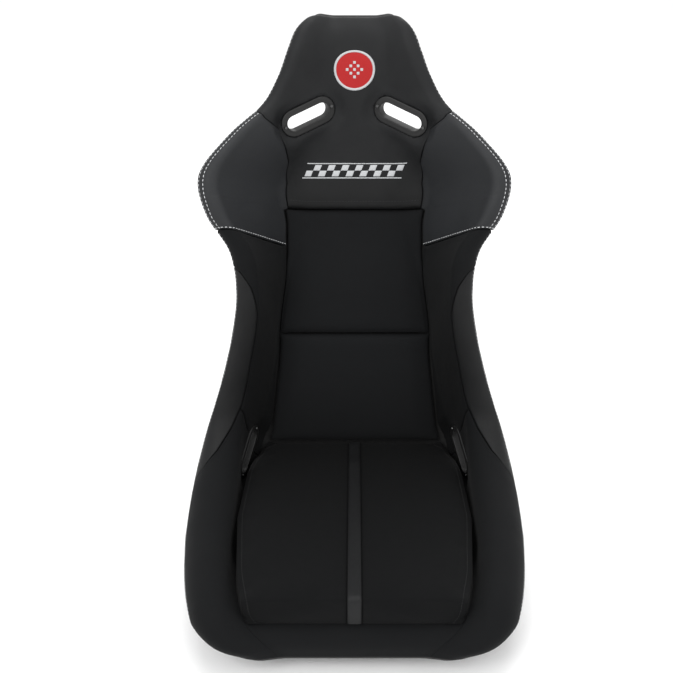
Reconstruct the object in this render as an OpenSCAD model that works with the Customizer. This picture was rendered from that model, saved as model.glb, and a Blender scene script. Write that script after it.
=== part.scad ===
// Fixed-back bucket seat: moulded shell, sewn-on bolster covers, loose pads held by
// hook-and-loop strips, harness slot bezels, side inserts and two base rails.
// Millimetres, +Z up, the occupant faces -Y, origin at the centre of the base bolt pattern.

/* [Seat] */
// overall width across the thigh bolsters
seat_w = 582; // [520:1:640]
// length of the shell from front lip to head top, along Y
seat_d = 716; // [640:1:790]
// height of the upholstered shell above the rail feet
seat_h = 886; // [800:1:960]
// laminate thickness of the shell
shell_t = 4; // [3:0.5:6]
// thickness of the sewn-on foam and cover
pad_t = 12; // [8:0.5:16]

/* [Removable pads] */
// how far the back pads stand above the bolster root
back_rise = 16; // [8:0.5:20]
// seam between lumbar pad and upper back pad, as a station
back_split = 11.78; // [11:0.01:13]
// gap between neighbouring pads
pad_gap = 1.5; // [0.5:0.1:3]
// height of the cushion's top at the backrest
cushion_rear_z = 117; // [95:1:130]
// rise of the cushion's top per millimetre forward
cushion_slope = 0.075; // [0:0.005:0.2]
// width of the centre stripe on the cushion
stripe_w = 23; // [10:1:40]

/* [Harness slots] */
// length of a belt opening
slot_l = 82; // [60:1:90]
// width of a belt opening
slot_w = 27; // [20:1:32]
// width of the bezel's visible ring
ring_w = 11; // [6:0.5:14]
// wall of the bezel's sleeve
sleeve_t = 2.5; // [2:0.5:4]
// shaft radius of a bezel screw
screw_r = 1.5; // [1.2:0.1:2]

/* [Mounting] */
// distance between the base rails, centre to centre
rail_gap = 240; // [180:1:280]
// width of a base rail
rail_w = 34; // [26:1:40]
// spacing of the base threads along Y
base_pitch = 120; // [90:1:140]
// radius of an M8 tapping hole
tap_r = 3.4; // [3.3:0.05:3.5]
// depth of the base threads
base_tap_l = 14; // [10:1:15]
// spacing of the side threads along Y
side_pitch = 130; // [100:1:150]
// height of the side threads
side_z = 66; // [58:1:80]
// thickness of a side insert bar
side_t = 8; // [6:0.5:10]
// height of a side insert bar
side_h = 30; // [24:1:36]

/* [Badge and stitched band] */
// diameter of the round head badge
badge_d = 73; // [50:1:90]
// width of the stitched band on the head pad
band_w = 188; // [120:1:200]

/* [Hidden] */

leatherette = [0.185, 0.19, 0.20];
woven = [0.115, 0.117, 0.12];
gelcoat = [0.05, 0.05, 0.055];
plastic = [0.14, 0.14, 0.145];
steel = [0.32, 0.33, 0.35];
thread_grey = [0.72, 0.73, 0.74];
badge_red = [0.72, 0.06, 0.06];

// Stations from the front edge, along the pan, round the hip and up to the head top.
// Each row: spine y, spine z, rim crest y, rim crest z, half width, wall angle,
// radius at the foot of the wall, radius of the rolled rim.
rows = [
  [-308,  43, -320,  49, 188, 20, 60, 30],
  [-308,  69, -330,  78, 230, 24, 60, 34],
  [-294,  90, -314, 108, 256, 30, 60, 38],
  [-264,  98, -272, 132, 268, 40, 55, 38],
  [-208,  76, -204, 142, 280, 65, 50, 38],
  [-125,  42, -118, 150, 289, 88, 45, 38],
  [ -38,  36,  -30, 160, 291, 90, 45, 39],
  [  58,  36,   45, 180, 286, 90, 45, 37],
  [ 128,  52,   92, 216, 273, 88, 50, 32],
  [ 168, 100,  110, 264, 255, 84, 50, 28],
  [ 195, 168,  117, 324, 236, 80, 45, 24],
  [ 224, 250,  125, 396, 218, 79, 42, 22],
  [ 253, 336,  136, 468, 208, 78, 42, 20],
  [ 280, 422,  150, 538, 217, 70, 50, 20],
  [ 304, 506,  168, 600, 256, 56, 65, 20],
  [ 324, 584,  200, 658, 268, 50, 75, 20],
  [ 338, 650,  254, 708, 221, 40, 75, 20],
  [ 348, 712,  308, 745, 165, 30, 75, 20],
  [ 355, 768,  329, 789, 136, 28, 70, 20],
  [ 361, 818,  341, 832, 118, 28, 60, 20],
  [ 370, 853,  359, 865, 104, 26, 45, 20],
  [ 388, 875,  384, 880,  84, 15, 40, 20]];
row_scale = [seat_d/716, seat_h/886, seat_d/716, seat_h/886, seat_w/582, 1, 1, 1];
last_row = len(rows) - 1;

shell_in = pad_t;
shell_out = pad_t + shell_t;
seam_t = 13.55;          // wing to torso seam
head_t = 14.42;          // lower edge of the head pad
hip_t = 8.62;            // torso to thigh seam
lip_t = 4.2;             // rear edge of the front lip pad
lip_v = 1.75;            // side edge of the front lip pad
lumbar_t0 = 9.38;
foot_lean = 0.26;        // lean of the lumbar pad's lower end, in stations
seam_lean = 0.11;        // lean of the seam between the back pads
strip_t = 1.6;           // hook or loop tape thickness
face_gap = 2.2;          // clearance between curved faces
shoulder_gap = 3.6;      // the same where the shoulders curve tightly
seam_gap = 0.022;        // seam clearance in surface units
split_gap = 0.016;       // half the gap between the back pads, in stations
slot_over = 0.4;         // clearance round a bezel

// Edge of the head pad, then edge of the grip panel, across the wall against station.
head_edge = [[14.42, 1.64], [15, 1.64], [15.8, 2.2], [16.3, 2.55], [16.6, 3.1], [16.85, 3.99]];
grip_edge = [[6.3, 3.96], [6.65, 3.7], [7.1, 3.5], [7.9, 3.3], [8.8, 3.15], [9.7, 3.06],
  [11.4, 3.03], [12.05, 3.33], [12.45, 3.65], [12.65, 3.96]];
grip_t0 = grip_edge[0][0];
grip_t1 = grip_edge[9][0];

// Stations and columns shared by every sheet, so that neighbours have parallel facets.
grid_t = concat([for (t = [0:0.5:2.5]) t], [2.75, 3, 3.5, 4, lip_t, 4.7, 5, 5.5, 6, 6.3, 6.65,
  7.1, 7.5, 7.9, 8.3, hip_t, 8.95, 9.3, 9.7, 10.1, 10.5, 10.95, 11.4, 11.78, 12.05, 12.3,
  12.65, 13.1, seam_t, 13.8, 14.1, head_t, 14.7, 15, 15.4, 15.8, 16.2, 16.5, 16.7, 16.85],
  [for (t = [17.2:0.38:20.7]) t], [21]);
grid_v = concat([for (v = [0:0.25:2]) v], [2.5, 3], [for (k = [1:6]) 3 + k/6]);
col_gap = 0.006;         // least distance between columns

// Catmull-Rom value of the station table.
function station(t) = let(i = min(max(floor(t), 0), last_row - 1), f = t - i,
    b = rows[i], c = rows[i + 1],
    a = i > 0 ? rows[i - 1] : 2*b - c,
    d = i < last_row - 1 ? rows[i + 2] : 2*c - b,
    q = 0.5*(2*b + (c - a)*f + (2*a - 5*b + 4*c - d)*f*f + (3*b - a - 3*c + d)*f*f*f))
  [for (k = [0:7]) q[k]*row_scale[k]];

// Section at a station: [spine point, direction to the crest, height, wall angle,
// foot radius, rim radius, wall length, flat half width].
function section(t) = let(q = station(t), c = [q[0], q[1]], r = [q[2], q[3]],
    h = norm(r - c), u = (r - c)/h, w = q[4], a = min(q[5], 90), rc = q[6], rr = q[7],
    lw = (h - (rc + rr)*(1 - cos(a)))/sin(a),
    wf = w - rr*(1 + sin(a)) - rc*sin(a) - lw*cos(a))
  [c, u, h, a, rc, rr, lw, wf];

// Point [x, height] of a section at v: 0-1 flat, 1-2 foot arc, 2-3 wall, 3-4 rolled rim,
// above 4 straight on by millimetres; d is the depth below the visible face.
function across(s, v, d) = let(a = s[3], rc = s[4], rr = s[5], lw = s[6], wf = s[7],
    f = min(v, 4) - floor(min(v, 3.999)),
    xb = wf + (rc + rr)*sin(a) + lw*cos(a), kb = s[2] - rr)
  v < 1 ? [wf*v, -d] :
  v < 2 ? [wf + (rc + d)*sin(a*f), rc - (rc + d)*cos(a*f)] :
  v < 3 ? [wf + (rc + d)*sin(a) + lw*f*cos(a), rc - (rc + d)*cos(a) + lw*f*sin(a)] :
  let(p = a - f*(a + 90), skirt = max(v - 4, 0))
  [xb - (rr - d)*sin(p), kb + (rr - d)*cos(p) - skirt];

function lift(s, xk) = [xk[0], s[0][0] + s[1][0]*xk[1], s[0][1] + s[1][1]*xk[1]];
function face_point(t, v, d) = let(s = section(t), p = across(s, abs(v), d))
  lift(s, [v < 0 ? -p[0] : p[0], p[1]]);

// Height of the shell's inside and of the visible face at x, for the flat and the foot arc.
function floor_at(s, x, d) = let(e = max(abs(x) - s[7], 0), r = s[4] + d)
  s[4] - sqrt(max(r*r - e*e, 1));

function mix(a, b, f) = a + (b - a)*f;
function steps(a, b, n) = [for (i = [0:n]) mix(a, b, i/n)];
function smooth(f) = let(g = min(max(f, 0), 1)) g*g*(3 - 2*g);

// Stations from a to b, and columns from lo to hi, both on the shared lattice.
function span(a, b) = concat([a], [for (t = grid_t) if (t > a + 0.07 && t < b - 0.07) t], [b]);
function cols(lo, hi, from = 0) = let(g = [for (v = grid_v) if (v >= from) v],
    n = len(g) - 1, e = min(col_gap, (hi - lo)/(2*n)))
  [for (i = [0:n]) min(max(g[i], lo + e*i), hi - e*(n - i))];
function both(e) = let(c = cols(0, e), n = len(c) - 1)
  concat([for (i = [n:-1:1]) -c[i]], c);
full_v = both(4);

// Two triangles of a four-sided face; flip takes the other diagonal, for the left half.
function halves(a, b, c, d, flip) = flip ? [[a, b, d], [b, c, d]] : [[a, b, c], [a, c, d]];

// Closed solid between two point grids of the same size.
module skin(top, bottom) {
  m = len(top);
  n = len(top[0]);
  o = m*n;
  points = [for (g = [top, bottom]) for (r = g) for (p = r) p];
  faces = [
    for (i = [0:m - 2]) for (j = [0:n - 2])
      let(a = i*n + j, flip = top[i][j][0] + top[i][j + 1][0] < 0) each concat(
        halves(a, a + n, a + n + 1, a + 1, flip),
        halves(o + a, o + a + 1, o + a + n + 1, o + a + n, flip)),
    for (i = [0:m - 2]) let(a = i*n, b = i*n + n - 1) each [
      [a + n, a, o + a], [a + n, o + a, o + a + n],
      [b, b + n, o + b + n], [b, o + b + n, o + b]],
    for (j = [0:n - 2]) let(a = j, b = o - n + j) each [
      [a, a + 1, o + a + 1], [a, o + a + 1, o + a],
      [b + 1, b, o + b], [b + 1, o + b, o + b + 1]]];
  polyhedron(points, faces);
}

// Sheet that follows the seat surface: vs(t) gives its columns, rise(t, v) lifts its top
// face, base(t, v) lifts its underside.
module sheet(ts, vs, d_top, d_low, rise = function(t, v) 0, base = function(t, v) 0) {
  skin([for (t = ts) [for (v = vs(t)) face_point(t, v, d_top - rise(t, v))]],
       [for (t = ts) [for (v = vs(t)) face_point(t, v, d_low - base(t, v))]]);
}

// Pad between two heights: xs(t, s) gives its columns, low and top take (t, s, x).
// lean0 and lean1 slope its two ends, in stations per millimetre of height.
module loose_pad(ts, xs, low, top, lean0 = 0, lean1 = 0) {
  a = ts[0];
  b = ts[len(ts) - 1];
  function at(t, x, k) = lift(section(t - mix(lean0, lean1, (t - a)/(b - a))*(k - rest_low)), [x, k]);
  skin([for (t = ts) let(s = section(t)) [for (x = xs(t, s)) at(t, x, top(t, s, x))]],
       [for (t = ts) let(s = section(t)) [for (x = xs(t, s)) at(t, x, low(t, s, x))]]);
}

module pair(side) {
  if (side > 0) children();
  else mirror([1, 0, 0]) children();
}

// Frame on the surface: origin, long axis, short axis and outward normal.
function unit(v) = v/norm(v);
function normal_at(t, v) = let(h = 0.02,
    a = face_point(t + h, v, 0) - face_point(t - h, v, 0),
    b = face_point(t, v + h, 0) - face_point(t, v - h, 0))
  unit(cross(b, a));
function frame_at(o, along, n) = let(e = unit(along - n*(along*n)), g = cross(n, e))
  [[e[0], g[0], n[0], o[0]], [e[1], g[1], n[1], o[1]], [e[2], g[2], n[2], o[2]], [0, 0, 0, 1]];

// Frame laid on the chord between two surface points a and b, sunk by push.
function chord_frame(a, b, push) = let(p = face_point(a[0], a[1], 0), q = face_point(b[0], b[1], 0),
    m = (a + b)/2, n = unit(normal_at(a[0], a[1]) + normal_at(b[0], b[1]) + normal_at(m[0], m[1])))
  frame_at((p + q)/2 - n*push, q - p, n);

shoulder_frame = chord_frame([17.22, 1.3], [16.35, 2.45], 4);
lap_frame = chord_frame([7.9, 2.1], [8.8, 2.1], 0);

// Round-ended bar of length l and width w from height a to height b.
module round_bar(l, w, a, b) {
  translate([-(l - w)/2, -w/2, a]) cube([l - w, w, b - a]);
  for (s = [-1, 1]) translate([s*(l - w)/2, 0, a]) cylinder(r = w/2, h = b - a, $fn = 48);
}

flange_l = slot_l + 2*ring_w;
flange_w = slot_w + 2*ring_w;
sleeve_l = slot_l + 2*sleeve_t;
sleeve_w = slot_w + 2*sleeve_t;
bezel_low = -5;          // underside of the front flange
bezel_top = 2.5;
ring_top = -shell_out - 0.6;
ring_low = ring_top - 3;
screw_x = slot_l/2 + ring_w/2 - 0.5;
screw_head_r = 3.2;
screw_head_l = 1.4;
screw_gap = 0.1;
far = 60;                // reach of a cut that goes right through

// Everything a bezel needs removed from the covers and the shell.
module bezel_space() {
  round_bar(sleeve_l + 2*slot_over, sleeve_w + 2*slot_over, -far, far);
  round_bar(flange_l + 2*slot_over, flange_w + 2*slot_over, bezel_low - slot_over, far);
  for (s = [-1, 1]) translate([s*screw_x, 0, -far])
    cylinder(r = screw_r + slot_over, h = far, $fn = 24);
}

module ring_space() {
  round_bar(flange_l + 2*slot_over, flange_w + 2*slot_over, -far, ring_top + slot_over);
}

module bezel() {
  difference() {
    union() {
      round_bar(flange_l, flange_w, bezel_low, bezel_top);
      round_bar(sleeve_l, sleeve_w, ring_low, bezel_low + 1);
    }
    round_bar(slot_l, slot_w, -far, far);
    for (s = [-1, 1]) translate([s*screw_x, 0, -far])
      cylinder(r = screw_r + screw_gap, h = 2*far, $fn = 24);
  }
}

module back_ring() {
  difference() {
    round_bar(flange_l, flange_w, ring_low, ring_top);
    round_bar(sleeve_l + 2*slot_over, sleeve_w + 2*slot_over, -far, far);
    for (s = [-1, 1]) translate([s*screw_x, 0, -far])
      cylinder(r = screw_r + screw_gap, h = 2*far, $fn = 24);
  }
}

module bezel_screw() {
  translate([0, 0, ring_low - 1]) cylinder(r = screw_r, h = bezel_top - ring_low + 1, $fn = 24);
  translate([0, 0, bezel_top])
    cylinder(r1 = screw_head_r, r2 = screw_head_r - 0.8, h = screw_head_l, $fn = 24);
}

module bezel_at(side, frame) {
  color(plastic) pair(side) multmatrix(frame) bezel();
}

module ring_at(side, frame) {
  color(plastic) pair(side) multmatrix(frame) back_ring();
}

module screws_at(frame) {
  color(steel) for (side = [-1, 1]) for (s = [-1, 1])
    pair(side) multmatrix(frame) translate([s*screw_x, 0, 0]) bezel_screw();
}

// Base rail side profile: flat foot, top following the shell's underside.
rail_t = span(4.85, 7.45);
rail_n = len(rail_t) - 1;
rail_clear = 1;          // between a rail and the shell
function under(t, d) = let(s = section(t)) s[0] - s[1]*d;
base_ys = [-base_pitch/2, base_pitch/2];
bolt_ts = [5.25, 7.3];
bolt_x = rail_gap/2;
bolt_r = 4;
bolt_gap = 0.3;
bolt_l = 14;             // shank below the shell's inner face
bolt_head_r = 7.5;
bolt_head_l = 2;
bolt_head_z = 2.4;       // underside of the head above the shell
bolt_pocket = 1.5;       // clearance round the head in the cushion's underside

// Places a bolt on the shell's inner face, square to it.
module base_frame(t, s) {
  translate(face_point(t, 0, shell_in) + [s*bolt_x, 0, 0])
    rotate([90 - atan2(section(t)[1][1], section(t)[1][0]), 0, 0]) children();
}

module base_rail(side) {
  foot = [[under(rail_t[0], 0)[0], 0], [under(rail_t[rail_n], 0)[0], 0]];
  top = [for (i = [rail_n:-1:0]) under(rail_t[i], shell_out + rail_clear)];
  color(steel) difference() {
    translate([side*bolt_x - rail_w/2, 0, 0]) rotate([90, 0, 90])
      linear_extrude(rail_w) polygon(concat(foot, top));
    for (y = base_ys) translate([side*bolt_x, y, -1])
      cylinder(r = tap_r, h = base_tap_l + 1, $fn = 48);
    for (t = bolt_ts) base_frame(t, side) translate([0, 0, -far])
      cylinder(r = bolt_r + bolt_gap, h = 2*far, $fn = 32);
  }
}

module base_bolts() {
  color(steel) for (s = [-1, 1]) for (t = bolt_ts) base_frame(t, s) {
    translate([0, 0, -bolt_l]) cylinder(r = bolt_r, h = bolt_l + bolt_head_z, $fn = 32);
    translate([0, 0, bolt_head_z]) cylinder(r = bolt_head_r, h = bolt_head_l, $fn = 32);
  }
}

// Side insert bar, its threads and its rivets.
side_x = face_point(6, 2.5, shell_out)[0] + 1;
side_y0 = -20;
side_l = side_pitch + 50;
rivet_dx = side_pitch/2 - 32;
rivet_r = 2.4;
rivet_gap = 0.2;
rivet_head_r = 5;
rivet_tail_r = 4.4;
rivet_head_l = 1.5;
rivet_tail_l = 2;
rivet_tail_x = side_x - shell_t - 7.6;
rivet_pocket_r = 6;
rivet_pocket_x = 14;     // reach of a rivet's clearance inside the insert
rivet_pocket_l = 20;

module side_insert(side) {
  color(steel) difference() {
    translate([side > 0 ? side_x : -side_x - side_t, side_y0 - side_l/2, side_z - side_h/2])
      cube([side_t, side_l, side_h]);
    for (s = [-1, 1]) {
      translate([0, side_y0 + s*side_pitch/2, side_z]) rotate([0, 90*side, 0])
        cylinder(r = tap_r, h = side_x + side_t + 5, $fn = 48);
      translate([0, side_y0 + s*rivet_dx, side_z]) rotate([0, 90*side, 0])
        cylinder(r = rivet_r + rivet_gap, h = side_x + side_t + 5, $fn = 24);
    }
  }
}

module insert_rivets() {
  color(steel) for (side = [-1, 1]) for (s = [-1, 1])
    translate([0, side_y0 + s*rivet_dx, side_z]) rotate([0, 90*side, 0]) {
      translate([0, 0, rivet_tail_x + 1])
        cylinder(r = rivet_r, h = side_x + side_t - rivet_tail_x, $fn = 24);
      translate([0, 0, side_x + side_t + 0.1])
        cylinder(r1 = rivet_head_r, r2 = rivet_head_r - rivet_head_l, h = rivet_head_l, $fn = 24);
      translate([0, 0, rivet_tail_x]) cylinder(r = rivet_tail_r, h = rivet_tail_l, $fn = 24);
    }
}

module rivet_space(r) {
  for (side = [-1, 1]) for (s = [-1, 1])
    translate([0, side_y0 + s*rivet_dx, side_z]) rotate([0, 90*side, 0])
      translate([0, 0, side_x - rivet_pocket_x]) cylinder(r = r, h = rivet_pocket_l, $fn = 24);
}

module shell() {
  color(gelcoat) difference() {
    sheet(grid_t, function(t) full_v, shell_in, shell_out);
    for (side = [-1, 1]) pair(side) {
      for (frame = [shoulder_frame, lap_frame]) multmatrix(frame) {
        bezel_space();
        ring_space();
      }
    }
    for (s = [-1, 1]) for (t = bolt_ts) base_frame(t, s) translate([0, 0, -far])
      cylinder(r = bolt_r + bolt_gap, h = 2*far, $fn = 32);
    rivet_space(rivet_r + rivet_gap);
  }
}

trim_in = -1;
trim_out = 1;
trim_w = 7;
trim_gap = 0.9;
front_trim_t = [-0.25, -0.02];
top_trim_t = [last_row + 0.02, last_row + 0.25];

module side_trim(side) {
  color(plastic) pair(side) sheet(span(0, last_row), function(t) [4 + trim_gap, 4 + trim_w],
    trim_in, shell_out + trim_out);
}

module end_trim(ts) {
  color(plastic) sheet(ts, function(t) full_v, trim_in, shell_out + trim_out);
}

// Inner border of the torso bolsters, v against station.
bolster_edge = [[8.62, 1.56], [9.4, 1.5], [9.7, 1.49], [10.8, 1.72], [11.8, 1.8], [14.42, 1.8]];
function bolster_v(t) = lookup(t, bolster_edge);
function bolster_top(t) = t >= grip_t0 && t <= grip_t1 ? lookup(t, grip_edge) - seam_gap : 4;

// Extra thickness of the head pad above its lower edge.
function head_lift(t, v) = 7*(1 - smooth((t - head_t)/1.8))*(1 - smooth(abs(v) - 0.9));

module head_pad() {
  color(leatherette) difference() {
    sheet(span(head_t, last_row), function(t) both(t > 16.84 ? 4 : lookup(t, head_edge) - seam_gap),
      0, shell_in - shoulder_gap, function(t, v) head_lift(t, v));
    for (side = [-1, 1]) pair(side) multmatrix(shoulder_frame) bezel_space();
  }
}

wing_t = 16.72;          // upper end of the wings

module wing_pad(side) {
  color(leatherette) pair(side) difference() {
    sheet(span(seam_t + seam_gap, wing_t),
      function(t) cols(t < head_t ? bolster_v(t) : lookup(t, head_edge) + seam_gap, 4, 1.5),
      0, shell_in - shoulder_gap);
    multmatrix(shoulder_frame) bezel_space();
  }
}

module torso_bolster(side) {
  color(woven) pair(side) difference() {
    sheet(span(hip_t + seam_gap, seam_t - seam_gap),
      function(t) cols(bolster_v(t), bolster_top(t), 1.5), 0, shell_in - face_gap);
    multmatrix(lap_frame) bezel_space();
  }
}

module thigh_bolster(side) {
  color(woven) pair(side) difference() {
    sheet(span(0, hip_t - seam_gap),
      function(t) cols(t < lip_t + 0.01 ? lip_v + seam_gap : 1.1, bolster_top(t), 1),
      0, shell_in - face_gap);
    multmatrix(lap_frame) bezel_space();
    rivet_space(rivet_pocket_r);
  }
}

module grip_panel(side) {
  color(leatherette) pair(side)
    sheet(span(grip_t0 + 0.05, grip_t1 - 0.02), function(t) cols(lookup(t, grip_edge) + seam_gap, 4, 3),
      0, shell_in - face_gap);
}

module front_lip_pad() {
  color(woven) sheet(span(0, lip_t - seam_gap), function(t) both(lip_v - seam_gap),
    0, shell_in - face_gap);
}

// Loose pads rest on their tapes, a little above the shell.
hook_low = -pad_t + 0.1;
loop_low = hook_low + strip_t + 0.2;
rest_low = loop_low + strip_t + 0.1;

// Back pads: flat face that meets the bolsters, thinner where it tucks under the head pad.
// wing_clear narrows them a little beside the wings.
wing_clear = 3.8;
function back_half(t, s) = s[7] + s[4]*sin((bolster_v(t) - 1)*s[3]) - pad_gap
  - wing_clear*smooth((t - 13.1)/0.4);
function back_low(s, x) = floor_at(s, x, -rest_low);
function back_face(t) = mix(back_rise, 0, smooth((t - 12.6)/1.7));
function back_top(t, s, x) = let(e = abs(x)/back_half(t, s))
  max(back_face(t) - 2*pow(e, 8), back_low(s, x) + 8);

// lean0 and lean1 shift the face's lower and upper ends down, so that the pad can lift off.
module back_pad(t0, t1, lean0, lean1) {
  thick = back_rise - rest_low;
  color(woven) loose_pad(span(t0, t1),
    function(t, s) steps(-back_half(t, s), back_half(t, s), 14),
    function(t, s, x) back_low(s, x), function(t, s, x) back_top(t, s, x),
    lean0/thick, lean1/thick);
}

// Cushion outline, half width against station.
cushion_edge = [[2.25, 170], [2.6, 180], [3.8, 196], [5.6, 209], [7.4, 203], [8.2, 191],
  [8.7, 176], [9.05, 156]];
cushion_ts = span(2.25, 9.05);
front_y = -295;          // front face of the cushion
front_soft = 7;          // softness of its upper front edge
cushion_side = 2.1;      // clearance of its sides
cushion_over = 4.4;      // clearance above the covers beside the pan

function soft_min(a, b, p) = min(a, b) - p*ln(1 + exp(-abs(a - b)/p));
function cushion_plane(s) = (cushion_rear_z + cushion_slope*(165 - s[0][0]) - s[0][1])
  /(s[1][1] + cushion_slope*s[1][0]);
function cushion_front(s) = s[1][0] < -0.05 && s[0][0] < -200 ? (front_y - s[0][0])/s[1][0] : 400;
function cushion_half(t) = lookup(t, cushion_edge) - cushion_side;
function cushion_low(t, s, x) =
  t > 4.5 && abs(x) < s[7] - 11 ? rest_low : floor_at(s, x, 0) + cushion_over;
function cushion_top(t, s, x) = let(e = abs(x)/cushion_half(t),
    k = soft_min(cushion_plane(s), cushion_front(s), front_soft))
  max(k - 16*pow(e, 6), cushion_low(t, s, x) + 6);
function cushion_xs(t, s) = let(e = cushion_half(t), f = min(s[7], e - 8),
    half = [stripe_w/2, f*0.4, f*0.7, f - 12, f - 2, mix(f, e, 0.6), e])
  concat([for (i = [6:-1:0]) -half[i]], half);

module seat_cushion() {
  color(woven) difference() {
    loose_pad(cushion_ts, function(t, s) cushion_xs(t, s),
      function(t, s, x) cushion_low(t, s, x), function(t, s, x) cushion_top(t, s, x));
    for (s = [-1, 1]) for (t = bolt_ts) base_frame(t, s)
      cylinder(r = bolt_head_r + bolt_pocket, h = bolt_head_z + bolt_head_l + bolt_pocket, $fn = 32);
  }
}

stripe_gap = 0.3;
stripe_t = 1.2;

module cushion_stripe() {
  color(leatherette) loose_pad(cushion_ts, function(t, s) [-stripe_w/2, 0, stripe_w/2],
    function(t, s, x) cushion_top(t, s, 0) + stripe_gap,
    function(t, s, x) cushion_top(t, s, 0) + stripe_gap + stripe_t);
}

// Hook and loop tapes: pairs of strips at +x and -x.
module tapes(runs, x, w, low) {
  for (run = runs) for (side = [-1, 1])
    loose_pad(span(run[0], run[1]), function(t, s) [side*x - w/2, side*x + w/2],
      function(t, s, x) low, function(t, s, x) low + strip_t);
}

module hooks(runs, x, w) {
  color(plastic) tapes(runs, x, w, hook_low);
}

module loops(runs, x, w) {
  color(woven) tapes(runs, x, w, loop_low);
}

pan_runs = [[5, 7.9]];
lumbar_runs = [[9.7, 11.4]];
upper_runs = [[12.05, 13.8]];
pan_tape = [80, 40];     // offset from the centre and width
back_tape = [52, 36];

badge_station = 18.39;
badge_t = 2.2;
badge_gap = 0.6;
badge_frame = frame_at(face_point(badge_station, 0, -badge_gap), [1, 0, 0],
  normal_at(badge_station, 0));

module head_badge() {
  color(badge_red) multmatrix(badge_frame) cylinder(r = badge_d/2, h = badge_t, $fn = 64);
}

band_ts = [15.13, 15.4, 15.58];
band_low = 0.7;          // height of the band's two faces above the cover
band_top = 1.8;

module stitched_band() {
  color(thread_grey) sheet(band_ts,
    function(t) let(wf = section(t)[7]) [for (x = steps(-band_w/2, band_w/2, 12))
      sign(x)*(abs(x) < wf ? abs(x)/wf : 1 + asin((abs(x) - wf)/section(t)[4])/section(t)[3])],
    -band_top, -band_low, function(t, v) head_lift(t, v), function(t, v) head_lift(t, v));
}

shell();
end_trim(front_trim_t);  // front_edge_trim
end_trim(top_trim_t);  // top_edge_trim
side_trim(-1);  // left_edge_trim
side_trim(1);  // right_edge_trim
base_rail(-1);  // left_base_rail
base_rail(1);  // right_base_rail
base_bolts();
side_insert(-1);  // left_side_insert
side_insert(1);  // right_side_insert
insert_rivets();
head_pad();
wing_pad(-1);  // left_wing_pad
wing_pad(1);  // right_wing_pad
torso_bolster(-1);  // left_torso_bolster
torso_bolster(1);  // right_torso_bolster
grip_panel(-1);  // left_grip_panel
grip_panel(1);  // right_grip_panel
thigh_bolster(-1);  // left_thigh_bolster
thigh_bolster(1);  // right_thigh_bolster
front_lip_pad();
back_pad(back_split + split_gap, head_t - 0.03, seam_lean, 0);  // upper_back_pad
back_pad(lumbar_t0, back_split - split_gap, foot_lean, seam_lean);  // lumbar_pad
seat_cushion();
cushion_stripe();
hooks(pan_runs, pan_tape[0], pan_tape[1]);  // pan_hook_strips
loops(pan_runs, pan_tape[0], pan_tape[1]);  // cushion_loop_strips
hooks(concat(lumbar_runs, upper_runs), back_tape[0], back_tape[1]);  // back_hook_strips
loops(upper_runs, back_tape[0], back_tape[1]);  // upper_back_loop_strips
loops(lumbar_runs, back_tape[0], back_tape[1]);  // lumbar_loop_strips
bezel_at(-1, shoulder_frame);  // left_shoulder_bezel
bezel_at(1, shoulder_frame);  // right_shoulder_bezel
ring_at(-1, shoulder_frame);  // left_shoulder_back_ring
ring_at(1, shoulder_frame);  // right_shoulder_back_ring
screws_at(shoulder_frame);  // shoulder_screws
bezel_at(-1, lap_frame);  // left_lap_bezel
bezel_at(1, lap_frame);  // right_lap_bezel
ring_at(-1, lap_frame);  // left_lap_back_ring
ring_at(1, lap_frame);  // right_lap_back_ring
screws_at(lap_frame);  // lap_screws
head_badge();
stitched_band();
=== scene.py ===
"""Looks of the fixed-back bucket seat: sewn covers, loose pads, moulded shell and hardware."""

import math

import bmesh
import bpy
import numpy as np
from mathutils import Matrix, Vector


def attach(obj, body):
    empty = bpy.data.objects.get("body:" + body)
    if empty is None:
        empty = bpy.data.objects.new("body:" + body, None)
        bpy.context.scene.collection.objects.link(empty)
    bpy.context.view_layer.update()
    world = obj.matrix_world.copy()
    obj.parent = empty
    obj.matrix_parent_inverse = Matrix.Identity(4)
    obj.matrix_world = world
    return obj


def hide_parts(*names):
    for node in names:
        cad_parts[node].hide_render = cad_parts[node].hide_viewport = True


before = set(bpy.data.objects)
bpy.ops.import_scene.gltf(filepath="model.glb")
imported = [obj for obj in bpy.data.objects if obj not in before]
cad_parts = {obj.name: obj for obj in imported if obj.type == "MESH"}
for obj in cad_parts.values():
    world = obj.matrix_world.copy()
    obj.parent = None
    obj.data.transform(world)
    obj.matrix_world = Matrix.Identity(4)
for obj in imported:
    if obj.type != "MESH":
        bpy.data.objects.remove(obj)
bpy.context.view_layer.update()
MM = 0.001
SIDES = ((1, "right"), (-1, "left"))
MIRROR = {1: np.array([1, 1, 1]), -1: np.array([-1, 1, 1])}

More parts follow.
